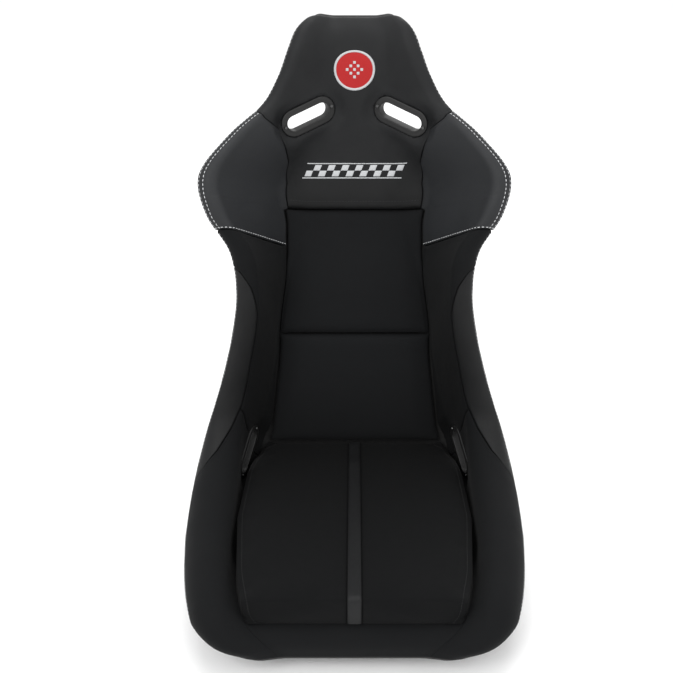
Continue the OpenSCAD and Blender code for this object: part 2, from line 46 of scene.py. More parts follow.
# ---------------------------------------------------------------- seat surface, millimetres
# The same stations as the CAD. Each row: spine y, spine z, rim crest y, rim crest z, half width,
# wall angle, radius at the foot of the wall, radius of the rolled rim.
ROWS = np.array([
    [-308, 43, -320, 49, 188, 20, 60, 30], [-308, 69, -330, 78, 230, 24, 60, 34],
    [-294, 90, -314, 108, 256, 30, 60, 38], [-264, 98, -272, 132, 268, 40, 55, 38],
    [-208, 76, -204, 142, 280, 65, 50, 38], [-125, 42, -118, 150, 289, 88, 45, 38],
    [-38, 36, -30, 160, 291, 90, 45, 39], [58, 36, 45, 180, 286, 90, 45, 37],
    [128, 52, 92, 216, 273, 88, 50, 32], [168, 100, 110, 264, 255, 84, 50, 28],
    [195, 168, 117, 324, 236, 80, 45, 24], [224, 250, 125, 396, 218, 79, 42, 22],
    [253, 336, 136, 468, 208, 78, 42, 20], [280, 422, 150, 538, 217, 70, 50, 20],
    [304, 506, 168, 600, 256, 56, 65, 20], [324, 584, 200, 658, 268, 50, 75, 20],
    [338, 650, 254, 708, 221, 40, 75, 20], [348, 712, 308, 745, 165, 30, 75, 20],
    [355, 768, 329, 789, 136, 28, 70, 20], [361, 818, 341, 832, 118, 28, 60, 20],
    [370, 853, 359, 865, 104, 26, 45, 20], [388, 875, 384, 880, 84, 15, 40, 20]], float)
LAST = len(ROWS) - 1
PAD_T, SHELL_T = 12.0, 4.0
FOAM_LOW = 10.2             # depth of a cover's underside
# Stations of the seams: wing to torso, lower edge of the head, torso to thigh, rear edge of the lip.
SEAM_T, HEAD_T, HIP_T, LIP_T = 13.55, 14.42, 8.62, 4.2
LIP_V = 1.75                # side border of the lip
SPLIT_T, LUMBAR_T = 11.78, 9.38
BACK_RISE, REST_LOW = 16.0, -8.4
# Borders of the panels, v or half width against station.
HEAD_EDGE = np.array([[14.42, 1.64], [15, 1.64], [15.8, 2.2], [16.3, 2.55], [16.6, 3.1], [16.85, 3.99]])
GRIP_EDGE = np.array([[6.3, 3.96], [6.65, 3.7], [7.1, 3.5], [7.9, 3.3], [8.8, 3.15], [9.7, 3.06],
                      [11.4, 3.03], [12.05, 3.33], [12.45, 3.65], [12.65, 3.96]])
BOLSTER_EDGE = np.array([[8.62, 1.56], [9.4, 1.5], [9.7, 1.49], [10.8, 1.72], [11.8, 1.8], [14.42, 1.8]])
CUSHION_EDGE = np.array([[2.25, 170], [2.6, 180], [3.8, 196], [5.6, 209], [7.4, 203], [8.2, 192],
                         [8.7, 181], [9.05, 165]])


def catmull(a, b, c, d, f):
    square, cube = 2 * a - 5 * b + 4 * c - d, 3 * b - a - 3 * c + d
    return 0.5 * (2 * b + (c - a) * f + square * f ** 2 + cube * f ** 3)


def station(t):
    t = np.asarray(t, float)
    i = np.clip(np.floor(t).astype(int), 0, LAST - 1)
    f = (t - i)[..., None]
    b, c = ROWS[i], ROWS[i + 1]
    a = np.where((i > 0)[..., None], ROWS[np.maximum(i - 1, 0)], 2 * b - c)
    d = np.where((i < LAST - 1)[..., None], ROWS[np.minimum(i + 2, LAST)], 2 * c - b)
    return catmull(a, b, c, d, f)


def section(t):
    """Spine point, direction to the crest, height, wall angle, two radii, wall length, flat half width."""
    q = station(t)
    spine, crest, w = q[..., 0:2], q[..., 2:4], q[..., 4]
    alpha = np.radians(np.minimum(q[..., 5], 90))
    rc, rr = q[..., 6], q[..., 7]
    h = np.linalg.norm(crest - spine, axis=-1)
    u = (crest - spine) / h[..., None]
    lw = (h - (rc + rr) * (1 - np.cos(alpha))) / np.sin(alpha)
    wf = w - rr * (1 + np.sin(alpha)) - rc * np.sin(alpha) - lw * np.cos(alpha)
    return spine, u, h, alpha, rc, rr, lw, wf


def lift(spine, u, x, k):
    return np.stack([x, spine[..., 0] + u[..., 0] * k, spine[..., 1] + u[..., 1] * k], -1)


def spot(t, x, k):
    """Point at x across and k above the spine, in the section at t."""
    t, x, k = np.broadcast_arrays(np.asarray(t, float), x, k)
    spine, u = section(t)[:2]
    return lift(spine, u, x, k)


def face(t, v, d=0.0):
    """Point at depth d under the visible surface. v is 0-1 on the flat, 1-2 on the foot arc, 2-3 on
    the wall and 3-4 on the rim, and runs straight on by millimetres above 4."""
    t, v, d = np.broadcast_arrays(np.asarray(t, float), v, d)
    spine, u, h, al, rc, rr, lw, wf = section(t)
    a = np.abs(v)
    f = np.minimum(a, 4) - np.floor(np.minimum(a, 3.9999))
    xb, kb = wf + (rc + rr) * np.sin(al) + lw * np.cos(al), h - rr
    p = al - f * (al + np.pi / 2)
    x = np.select([a < 1, a < 2, a < 3], [
        wf * a, wf + (rc + d) * np.sin(al * f), wf + (rc + d) * np.sin(al) + lw * f * np.cos(al)],
        xb - (rr - d) * np.sin(p))
    k = np.select([a < 1, a < 2, a < 3], [
        -d, rc - (rc + d) * np.cos(al * f), rc - (rc + d) * np.cos(al) + lw * f * np.sin(al)],
        kb + (rr - d) * np.cos(p) - np.maximum(a - 4, 0))
    return lift(spine, u, np.where(v < 0, -x, x), k)


def unit(a):
    return a / np.maximum(np.linalg.norm(a, axis=-1, keepdims=True), 1e-9)


def normal_at(t, v, h=0.02):
    a = face(t + h, v) - face(t - h, v)
    b = face(t, v + h) - face(t, v - h)
    return unit(np.cross(b, a))


def smooth(f):
    g = np.clip(f, 0, 1)
    return g * g * (3 - 2 * g)


def chord_frame(a, b, push):
    """Origin, long axis, short axis, outward normal of a slot laid on a chord of the surface."""
    p, q = face(*a), face(*b)
    m = ((a[0] + b[0]) / 2, (a[1] + b[1]) / 2)
    n = unit(normal_at(*a) + normal_at(*b) + normal_at(*m))
    o = (p + q) / 2 - n * push
    e = unit((q - p) - n * np.dot(q - p, n))
    return o, e, np.cross(n, e), n


SHOULDER = chord_frame((17.22, 1.3), (16.35, 2.45), 4)
LAP = chord_frame((7.9, 2.1), (8.8, 2.1), 0)
SLOT_L, SLOT_W, RING_W, SLEEVE_T, SLOT_OVER = 82.0, 27.0, 11.0, 2.5, 0.4
FLANGE_R = SLOT_W / 2 + RING_W
SLEEVE_R = SLOT_W / 2 + SLEEVE_T
BEZEL_LOW, RING_TOP = -5.0, -16.6


def lattice_noise(shape_uv, cell, seed):
    """Smooth repeatable noise, -1 to 1, sampled at points given in millimetres."""
    r = np.random.default_rng(seed)
    table = r.uniform(-1, 1, (64, 64))
    u, v = shape_uv[0] / cell, shape_uv[1] / cell
    i, j = np.floor(u).astype(int), np.floor(v).astype(int)
    f, g = u - i, v - j
    f, g = f * f * (3 - 2 * f), g * g * (3 - 2 * g)
    i0, i1, j0, j1 = i % 64, (i + 1) % 64, j % 64, (j + 1) % 64
    return ((table[i0, j0] * (1 - f) + table[i1, j0] * f) * (1 - g)
            + (table[i0, j1] * (1 - f) + table[i1, j1] * f) * g)


# ---------------------------------------------------------------- mesh building
def arc_length(p, axis):
    step = np.linalg.norm(np.diff(p, axis=axis), axis=-1)
    zero = np.zeros_like(np.take(step, [0], axis=axis))
    return np.concatenate([zero, np.cumsum(step, axis=axis)], axis=axis)


FINE = np.array([0, 0.8, 1.8, 3.1, 4.8, 7.0])


def graded(length, n, start, end):
    """n + fine positions from 0 to length, denser beside a seam. length may be an array of rows."""
    length = np.atleast_1d(length)[:, None]
    k = np.minimum(1, length / 26)
    a = FINE[None] * k if start else np.zeros_like(length)
    b = length - FINE[None, ::-1] * k if end else length
    f = np.linspace(0, 1, n + 2)[None, 1:-1]
    mid = a[:, -1:] + (b[:, :1] - a[:, -1:]) * f
    return np.concatenate([a, mid, b], axis=1)


def grid_normals(p, out):
    di = np.gradient(p, axis=0)
    dj = np.gradient(p, axis=1)
    n = unit(np.cross(di, dj))
    sign = np.sign(np.sum(n * out, -1, keepdims=True))
    return n * np.where(sign == 0, 1, sign)


def new_object(name, verts, faces, uv=None, floats=None, flat_angle=40):
    me = bpy.data.meshes.new(name)
    me.from_pydata((np.asarray(verts) * MM).tolist(), [], [list(f) for f in faces])
    me.update()
    if uv is not None:
        layer = me.uv_layers.new(name="cloth")
        loops = np.zeros(len(me.loops), np.int32)
        me.loops.foreach_get("vertex_index", loops)
        layer.data.foreach_set("uv", (np.asarray(uv)[loops] * MM).astype(np.float32).ravel())
    for key, values in (floats or {}).items():
        me.attributes.new(key, "FLOAT", "POINT").data.foreach_set("value", np.asarray(values, np.float32))
    ob = bpy.data.objects.new(name, me)
    bpy.context.scene.collection.objects.link(ob)
    bm = bmesh.new()
    bm.from_mesh(me)
    bmesh.ops.recalc_face_normals(bm, faces=bm.faces)
    bm.to_mesh(me)
    bm.free()
    shade(ob, flat_angle)
    return ob


def shade(ob, angle=40):
    me = ob.data
    me.polygons.foreach_set("use_smooth", [True] * len(me.polygons))
    me.set_sharp_from_angle(angle=math.radians(angle))


def skin_faces(m, n):
    """Quads of a closed solid between two m by n grids, top first."""
    o, faces = m * n, []
    for i in range(m - 1):
        for j in range(n - 1):
            a = i * n + j
            faces.append((a, a + 1, a + n + 1, a + n))
            faces.append((o + a, o + a + n, o + a + n + 1, o + a + 1))
    for i in range(m - 1):
        a, b = i * n, i * n + n - 1
        faces.append((a, a + n, o + a + n, o + a))
        faces.append((b, o + b, o + b + n, b + n))
    for j in range(n - 1):
        a, b = j, (m - 1) * n + j
        faces.append((a, o + a, o + a + 1, a + 1))
        faces.append((b, b + 1, o + b + 1, o + b))
    return faces


def stacked(top, low):
    return np.concatenate([top.reshape(-1, 3), low.reshape(-1, 3)])


def solid(name, top, low, uv=None, floats=None, side=1, flat_angle=40):
    m, n = top.shape[:2]
    verts = stacked(top, low) * MIRROR[side]
    if uv is not None:
        uv = np.concatenate([uv.reshape(-1, 2), uv.reshape(-1, 2)])
    pairs = {k: f if isinstance(f, tuple) else (f, f) for k, f in (floats or {}).items()}
    floats = {k: np.concatenate([a.ravel(), b.ravel()]) for k, (a, b) in pairs.items()}
    return new_object(name, verts, skin_faces(m, n), uv, floats, flat_angle)


def join(name, parts, uv=None):
    """One object from many (verts, faces) lists."""
    verts, faces, at = [], [], 0
    for v, f in parts:
        verts.append(v)
        faces.extend([tuple(i + at for i in q) for q in f])
        at += len(v)
    verts = np.concatenate(verts)
    return new_object(name, verts, faces, uv=verts[:, [0, 2]] if uv is None else uv)


def near_slot(p, side_frame):
    """Distance from a slot flange's outline and height over its plane, for points in millimetres."""
    o, e, g, n = side_frame
    q = p - o
    a, b, k = q @ e, q @ g, q @ n
    half = (SLOT_L - SLOT_W) / 2
    return np.hypot(np.maximum(np.abs(a) - half, 0), b) - FLANGE_R, k


def settle_round_slot(p, n, side_frame):
    """Presses a cover down to the bezel's rim and rolls it into the gap beside it."""
    _, _, _, axis = side_frame
    dist, k = near_slot(p, side_frame)
    same = (np.abs(k) < 45) & (np.sum(n * axis, -1) > 0.2)
    pressed = smooth(1 - (dist - 1) / 20) * same
    p = p + ((0.4 - k) * pressed)[..., None] * axis
    turn = np.clip(1 - (dist - 0.2) / 3.2, 0, 1) * same
    return p - (2.6 * (1 - np.sqrt(1 - 0.998 * turn * turn)))[..., None] * axis


def stadium(r, n=18):
    """Round-ended outline at distance r from the slot's centre line."""
    half = (SLOT_L - SLOT_W) / 2
    out = []
    for s, a0 in ((1, -90), (-1, 90)):
        for i in range(n + 1):
            a = math.radians(a0 + 180 * i / n)
            out.append((s * half + r * math.cos(a), r * math.sin(a)))
    return np.array(out)


def band_faces(m, w, closed=False):
    """Quads between m loops of w points, each joined to the next, and the last to the first if closed."""
    faces = []
    for i in range(m if closed else m - 1):
        j = (i + 1) % m
        for a in range(w):
            b = (a + 1) % w
            faces.append((i * w + a, i * w + b, j * w + b, j * w + a))
    return faces


def rod_faces(m, w):
    """The same loops with both ends closed."""
    return band_faces(m, w) + [tuple(range(w))[::-1], tuple((m - 1) * w + a for a in range(w))]


def loops_solid(profile, side_frame, side=1, closed=True):
    """Sweeps (r, k) points round the slot. A closed profile gives a ring, an open one a plug."""
    o, e, g, n = side_frame
    rings = []
    for r, k in profile:
        c = stadium(r)
        rings.append(o + c[:, :1] * e + c[:, 1:] * g + k * n)
    m, w = len(rings), len(rings[0])
    verts = np.concatenate(rings) * MIRROR[side]
    return verts, band_faces(m, w, True) if closed else rod_faces(m, w)


def cut_slot(ob, side_frame, side, spool):
    """Cuts a slot through a mesh: spool is the (r, k) outline of what is removed."""
    v, f = loops_solid(spool, side_frame, side, closed=False)
    cutter = new_object("slot_cutter", v, f)
    mod = ob.modifiers.new("cut", "BOOLEAN")
    mod.operation, mod.solver, mod.object = "DIFFERENCE", "MANIFOLD", cutter
    apply_modifiers(ob)
    bpy.data.objects.remove(cutter)


def apply_modifiers(ob):
    dg = bpy.context.evaluated_depsgraph_get()
    me = bpy.data.meshes.new_from_object(ob.evaluated_get(dg), preserve_all_data_layers=True, depsgraph=dg)
    ob.modifiers.clear()
    old = ob.data
    ob.data = me
    me.name = ob.name
    if old.users == 0:
        bpy.data.meshes.remove(old)


COVER_SPOOL = [(FLANGE_R + 0.25, 40), (FLANGE_R + 0.25, -40)]
SHELL_SPOOL = [(FLANGE_R + SLOT_OVER, 40), (FLANGE_R + SLOT_OVER, BEZEL_LOW - 0.4),
               (SLEEVE_R + SLOT_OVER, BEZEL_LOW - 0.6), (SLEEVE_R + SLOT_OVER, RING_TOP + 0.5),
               (FLANGE_R + SLOT_OVER, RING_TOP + 0.4), (FLANGE_R + SLOT_OVER, -40)]


# ---------------------------------------------------------------- sewn covers
def groove(dist, depth, width):
    return -depth * np.exp(-(dist / width) ** 2)


def rolled(dist, radius, drop):
    """Quarter-round fall of a cover into a seam."""
    x = np.clip(1 - dist / radius, 0, 1)
    return -drop * (1 - np.sqrt(1 - 0.996 * x * x))


class Sheet:
    """A fine grid of millimetre points with its distances to the four edges, for covers and pads."""

    def measure(self, p, out):
        across, along = arc_length(p, 1), arc_length(p, 0)
        self.edges = {"lo": across, "hi": across[:, -1:] - across, "start": along, "end": along[-1:] - along}
        return grid_normals(p, out)

    def line(self, edge, off, t0=-1.0, t1=99.0):
        """Points and normals of the line that runs off millimetres inside an edge."""
        d = self.edges[edge]
        p, n, t = self.p, self.n, self.t
        if edge in ("start", "end"):
            d, p, n, t = d.T, p.swapaxes(0, 1), n.swapaxes(0, 1), t.T
        pts, nrm = [], []
        for i in range(len(d)):
            order = np.argsort(d[i])
            at = off(t[i, 0]) if callable(off) else off
            if d[i].max() < at or not t0 <= np.interp(at, d[i][order], t[i][order]) <= t1:
                continue
            pts.append([np.interp(at, d[i][order], p[i][order, c]) for c in range(3)])
            nrm.append([np.interp(at, d[i][order], n[i][order, c]) for c in range(3)])
        return np.array(pts), unit(np.array(nrm))


class Cover(Sheet):
    """A sewn panel on the seat surface between two stations and two borders."""

    def __init__(self, name, t0, t1, lo, hi, seams, step=5.0, puff=0.8, lift=None, slots=(), wrinkle=0.25,
                 seed=1, rolls=None, sew=(), deep=None, hidden=()):
        tt = np.linspace(t0, t1, 500)
        run = arc_length(face(tt, 0.5 * (lo(tt) + hi(tt)))[:, None, :], 0)[:, 0]
        rows = graded(run[-1], max(int(run[-1] / step), 6), "start" in seams, "end" in seams)[0]
        t = np.interp(rows, run, tt)
        l, h = lo(t)[:, None], hi(t)[:, None]
        vv = l + (h - l) * np.linspace(0, 1, 260)[None]
        arcs = arc_length(face(t[:, None], vv), 1)
        n = max(int(arcs[:, -1].max() / step), 8)
        want = graded(arcs[:, -1], n, "lo" in seams, "hi" in seams)
        v = np.stack([np.interp(want[i], arcs[i], vv[i]) for i in range(len(t))])
        self.t = np.broadcast_to(t[:, None], v.shape)
        p = face(self.t, v)
        out = face(self.t, v, -1.0) - p
        n0 = self.measure(p, out)
        near = np.full(v.shape, 1e3)
        h = np.zeros(v.shape)
        for e in seams:
            h += rolled(self.edges[e], *(rolls or {}).get(e, (3.6, 2.6)))
            near = np.minimum(near, self.edges[e] + (40 if e in hidden else 0))
        h += puff * (1 - np.exp(-near / 16))
        flat = (want + 90.0 * seed, rows[:, None] + 0 * want)
        tug = np.exp(-((near - 7) / 8) ** 2)
        h += wrinkle * lattice_noise(flat, 46, seed) + 0.35 * wrinkle * lattice_noise(flat, 17, seed + 9)
        h += 0.16 * tug * lattice_noise(flat, 7.5, seed + 31)
        # dark is painted shade, stored as the seam attribute: darker within a few millimetres of each seam
        # and along the stitched grooves.
        dark = np.exp(-near / 5)
        for e, off, depth in sew:
            away = self.edges[e] - (off(self.t) if callable(off) else off)
            h += groove(away, depth, 1.5)
            dark = np.maximum(dark, depth * np.exp(-(away / 1.6) ** 2))
        if lift is not None:
            h += lift(self.t, v)
        p = p + n0 * h[..., None]
        for f in slots:
            p = settle_round_slot(p, n0, f)
        self.p, self.n = p, grid_normals(p, out)
        self.low = face(self.t, v, FOAM_LOW)
        self.uv, self.dark = np.stack(flat, -1), np.clip(dark, 0, 1)
        self.name = name
        # deep: painted shade from 0 to 1, which the shaders use to darken the colour.
        self.deep = np.clip(deep(self.t, v), 0, 1) if deep else np.zeros(v.shape)

    def build(self, side, mat, slot, node, cuts=()):
        name = ("" if side == 0 else "right_" if side > 0 else "left_") + self.name
        ob = solid(name, self.p, self.low, self.uv, {"seam": self.dark, "deep": self.deep}, side or 1)
        for f in cuts:
            for s in ((side,) if side else (1, -1)):
                cut_slot(ob, f, s, COVER_SPOOL)
        finish_piece(ob, mat, "seat_shell", [node])


def interp3(at, run, points):
    """Points at the distances at along a line, whose own points lie at the distances run."""
    return np.stack([np.interp(at, run, points[:, c]) for c in range(3)], -1)


def stitches(pts, nrm, pitch=5.2, length=3.9, width=1.0, height=0.42, seed=3):
    """Sewing stitches along a line: short threads that dip into the cover at both ends."""
    run = arc_length(pts[:, None, :], 0)[:, 0]
    total = max(int(run[-1] / pitch), 2)
    r = np.random.default_rng(seed)
    s = (np.arange(total) + 0.5) * run[-1] / total + r.uniform(-0.12, 0.12, total)
    rings, around = 5, 6
    parts = []
    a, b = interp3(s - length / 2, run, pts), interp3(s + length / 2, run, pts)
    n = unit(interp3(s, run, nrm))
    d = unit(b - a)
    side = unit(np.cross(n, d))
    lean = r.uniform(-0.12, 0.12, len(s))[:, None]
    for i in range(rings):
        f = i / (rings - 1)
        c = a + (b - a) * f + side * (f - 0.5) * lean * 2
        bow = math.sin(math.pi * f)
        c = c + n * (height * bow - 0.25)
        rad = width / 2 * (0.45 + 0.55 * bow)
        for k in range(around):
            ang = 2 * math.pi * k / around
            parts.append(c + side * (rad * math.cos(ang)) + n * (rad * 0.75 * math.sin(ang)))
    verts = np.stack(parts, 1)
    one = rod_faces(rings, around)
    faces = [tuple(q * rings * around + k for k in f) for q in range(total) for f in one]
    return verts.reshape(-1, 3), faces


def finish_piece(ob, mat, body, nodes=()):
    ob.data.materials.clear()
    ob.data.materials.append(mat)
    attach(ob, body)
    if nodes:
        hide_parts(*nodes)


# ---------------------------------------------------------------- materials
class Shader:
    """A Principled material with helpers for the node chains used below."""

    def __init__(self, name, rough=0.5, **constants):
        self.mat = bpy.data.materials.new(name)
        self.mat.use_nodes = True
        self.nt = self.mat.node_tree
        self.nt.nodes.clear()
        self.out = self.nt.nodes.new("ShaderNodeOutputMaterial")
        self.bsdf = self.nt.nodes.new("ShaderNodeBsdfPrincipled")
        self.nt.links.new(self.bsdf.outputs[0], self.out.inputs["Surface"])
        self.bsdf.inputs["Roughness"].default_value = rough
        for key, value in constants.items():
            self.bsdf.inputs[key.replace("_", " ")].default_value = value

    def node(self, kind, props=None, **inputs):
        n = self.nt.nodes.new(kind)
        for k, v in (props or {}).items():
            setattr(n, k, v)
        for k, v in inputs.items():
            self.put(n, k, v)
        return n

    def put(self, n, key, value):
        numbered = key[0] == "i" and key[1:].isdigit()
        sock = n.inputs[int(key[1:]) if numbered else key.replace("_", " ")]
        if isinstance(value, bpy.types.NodeSocket):
            self.nt.links.new(value, sock)
        else:
            sock.default_value = value

    def math(self, op, a, b=0.0, c=0.0):
        n = self.node("ShaderNodeMath", {"operation": op}, i0=a, i1=b)
        if op == "MULTIPLY_ADD":
            self.put(n, "i2", c)
        return n.outputs[0]

    def cloth_uv(self):
        return self.node("ShaderNodeUVMap", {"uv_map": "cloth"}).outputs[0]

    def place(self):
        return self.node("ShaderNodeTexCoord").outputs["Object"]

    def noise(self, where, scale, detail=3.0, rough=0.55):
        return self.node("ShaderNodeTexNoise", None, Vector=where, Scale=scale, Detail=detail,
                         Roughness=rough).outputs[0]

    def ramp(self, value, lo, hi, out_lo, out_hi):
        return self.node("ShaderNodeMapRange", None, Value=value, From_Min=lo, From_Max=hi,
                         To_Min=out_lo, To_Max=out_hi).outputs[0]

    def cells(self, where, feature, scale, jitter=1.0):
        return self.node("ShaderNodeTexVoronoi", {"feature": feature}, Vector=where, Scale=scale,
                         Randomness=jitter).outputs[0]

    def stretch(self, where, scale, turn=(0.0, 0.0, 0.0)):
        return self.node("ShaderNodeMapping", None, Vector=where, Rotation=turn, Scale=scale).outputs[0]

    def blend(self, a, weight_a, b, weight_b):
        """weight_a times a plus weight_b times b."""
        return self.math("MULTIPLY_ADD", a, weight_a, self.math("MULTIPLY", b, weight_b))

    def tint(self, factor, dark, light):
        n = self.node("ShaderNodeMix", {"data_type": "RGBA"})
        self.put(n, "i0", factor)
        n.inputs[6].default_value = (*dark, 1)
        n.inputs[7].default_value = (*light, 1)
        return n.outputs[2]

    def colour(self, socket):
        self.nt.links.new(socket, self.bsdf.inputs["Base Color"])

    def paint_shade(self, colour, dark):
        """Mixes a colour toward dark by the deep attribute: painted shade where the cover lies deep in the
        well of the seat.
        """
        n = self.node("ShaderNodeMix", {"data_type": "RGBA"}, i0=self.attribute("deep"), i6=colour)
        n.inputs[7].default_value = (*dark, 1)
        return n.outputs[2]

    def rough(self, socket):
        self.nt.links.new(socket, self.bsdf.inputs["Roughness"])

    def bump(self, height, distance, strength=1.0):
        n = self.node("ShaderNodeBump", None, Height=height, Distance=distance, Strength=strength)
        self.nt.links.new(n.outputs[0], self.bsdf.inputs["Normal"])

    def attribute(self, name):
        return self.node("ShaderNodeAttribute", {"attribute_name": name}).outputs["Fac"]


def grey(v):
    return (v, v, v)


def cool(v):
    """The slightly blue grey of the cloths."""
    return (v * 0.94, v, v * 1.096)


def leatherette(name, base, rough=0.5):
    """Fine-grained vinyl: pebble cells, painted shade along the seams and in the well of the seat, worn
    shine in random patches.
    """
    s = Shader(name, rough, Specular_IOR_Level=0.24)
    uv, where = s.cloth_uv(), s.place()
    grain = s.ramp(s.cells(uv, "DISTANCE_TO_EDGE", 720.0, 0.9), 0.0, 0.22, 0.0, 1.0)
    fine = s.noise(uv, 2600.0, 2.0)
    mottle = s.noise(where, 7.0, 4.0)
    # Painted shade along the seams, from the seam attribute.
    seam = s.attribute("seam")
    tone = s.math("SUBTRACT", s.blend(grain, 0.30, mottle, 0.7), s.math("MULTIPLY", seam, 0.45))
    colour = s.tint(tone, cool(base * 0.7), cool(base * 1.25))
    # Painted shade in the well of the seat, from the deep attribute.
    s.colour(s.paint_shade(colour, cool(base * 0.3)))
    wear = s.ramp(s.noise(where, 23.0, 5.0), 0.35, 0.7, rough - 0.06, rough + 0.07)
    s.rough(s.math("ADD", wear, s.math("MULTIPLY", grain, -0.05)))
    height = s.math("MULTIPLY_ADD", fine, 0.25, grain)
    s.bump(height, 0.00016, 0.55)
    return s.mat


def woven(name, base, rough=0.85, pitch=0.0013, sheen=0.02):
    """Dense plain weave: warp and weft knots over soft fuzz."""
    s = Shader(name, rough, Specular_IOR_Level=0.12, Sheen_Weight=sheen, Sheen_Roughness=0.5)
    uv, where = s.cloth_uv(), s.place()
    xyz = s.node("ShaderNodeSeparateXYZ", None, Vector=uv)
    k = 2 * math.pi / pitch
    warp = s.math("SINE", s.math("MULTIPLY", xyz.outputs[0], k))
    weft = s.math("SINE", s.math("MULTIPLY", xyz.outputs[1], k))
    knot = s.math("MULTIPLY_ADD", s.math("MULTIPLY", warp, weft), 0.5, 0.5)
    fuzz = s.noise(uv, 1900.0, 3.0, 0.65)
    cloud = s.noise(where, 9.0, 4.0)
    # Painted shade along the seams, from the seam attribute.
    seam = s.attribute("seam")
    tone = s.math("MULTIPLY_ADD", cloud, 0.45, s.blend(knot, 0.35, fuzz, 0.3))
    tone = s.math("SUBTRACT", tone, s.math("MULTIPLY", seam, 0.4))
    colour = s.tint(tone, cool(base * 0.62), cool(base * 1.35))
    # Painted shade in the well of the seat, from the deep attribute.
    s.colour(s.paint_shade(colour, cool(base * 0.25)))
    s.rough(s.ramp(cloud, 0.3, 0.7, rough - 0.05, rough + 0.06))
    s.bump(s.math("MULTIPLY_ADD", fuzz, 0.6, knot), 0.00022, 0.6)
    return s.mat


def moulded(name, base, rough, grain=3400.0, depth=0.00006, spec=0.5):
    """Moulded plastic or rubber with a spark-eroded texture."""
    s = Shader(name, rough, Specular_IOR_Level=spec)
    where = s.place()
    speck = s.noise(where, grain, 2.0)
    cloud = s.noise(where, 14.0, 4.0)
    s.colour(s.tint(s.blend(speck, 0.4, cloud, 0.6), grey(base * 0.7), grey(base * 1.3)))
    s.rough(s.ramp(cloud, 0.3, 0.7, rough - 0.05, rough + 0.08))
    s.bump(speck, depth, 0.7)
    return s.mat


def gelcoat(name):
    """Black gel-coated laminate: deep gloss with orange peel outside, and matt inside."""
    s = Shader(name, Coat_Roughness=0.08)
    where = s.place()
    peel = s.noise(where, 210.0, 2.0)
    cloud = s.noise(where, 5.0, 5.0)
    strands = s.cells(where, "F1", 160.0)
    s.colour(s.tint(s.blend(cloud, 0.6, strands, 0.3), grey(0.008), grey(0.02)))
    inside = s.attribute("inside")
    s.put(s.bsdf, "Coat_Weight", s.math("MULTIPLY_ADD", inside, -0.45, 0.45))
    s.put(s.bsdf, "Specular_IOR_Level", s.math("MULTIPLY_ADD", inside, -0.38, 0.5))
    haze = s.ramp(s.noise(where, 30.0, 6.0), 0.35, 0.7, 0.18, 0.34)
    s.rough(s.math("MULTIPLY_ADD", inside, 0.5, haze))
    s.bump(peel, 0.00028, 0.35)
    return s.mat


def metal(name, base, rough):
    """Plated steel with fine lines along X."""
    s = Shader(name, rough, Metallic=1.0)
    where = s.place()
    lines = s.noise(s.stretch(where, (90.0, 1400.0, 1400.0)), 1.0, 4.0)
    cloud = s.noise(where, 40.0, 4.0)
    s.colour(s.tint(s.blend(lines, 0.4, cloud, 0.6), grey(base * 0.75), grey(base * 1.2)))
    s.rough(s.ramp(s.math("ADD", lines, cloud), 0.7, 1.3, rough - 0.08, rough + 0.12))
    s.bump(lines, 0.00003, 0.5)
    return s.mat


def powder(name, base):
    """Powder coat with a slight orange peel."""
    s = Shader(name, 0.42, Specular_IOR_Level=0.5)
    where = s.place()
    peel = s.noise(where, 900.0, 2.0)
    cloud = s.noise(where, 18.0, 5.0)
    s.colour(s.tint(cloud, grey(base * 0.75), grey(base * 1.25)))
    s.rough(s.ramp(cloud, 0.3, 0.7, 0.36, 0.5))
    s.bump(peel, 0.00012, 0.6)
    return s.mat


def thread(name, base, dark=0.55, scale=1500.0, sheen=0.3):
    """Twisted yarn: plies as slanted bands, with some lint."""
    s = Shader(name, 0.6, Specular_IOR_Level=0.4, Sheen_Weight=sheen, Sheen_Roughness=0.4)
    where = s.place()
    turned = s.stretch(where, (1.0, 1.0, 0.25), (0.0, 0.7, 0.0))
    ply = s.node("ShaderNodeTexWave", {"wave_type": "BANDS"}, Vector=turned, Scale=scale / 6.28,
                 Distortion=1.5, Detail=2.0).outputs["Fac"]
    lint = s.noise(where, 900.0, 3.0)
    s.colour(s.tint(s.blend(lint, 0.5, ply, 0.5), tuple(c * dark for c in base), base))
    s.bump(ply, 0.0001, 0.5)
    return s.mat


def tape(name, base, hooks):
    """Hook tape with rows of small mushrooms, or loop tape with fuzz."""
    s = Shader(name, 0.8, Specular_IOR_Level=0.3, Sheen_Weight=0.0 if hooks else 0.2, Sheen_Roughness=0.5)
    uv = s.cloth_uv()
    if hooks:
        height = s.ramp(s.cells(uv, "F1", 620.0, 0.15), 0.0, 0.45, 1.0, 0.0)
    else:
        height = s.noise(uv, 1500.0, 5.0, 0.7)
    s.colour(s.tint(height, grey(base * 0.6), grey(base * 1.5)))
    s.bump(height, 0.0005, 0.8)
    return s.mat


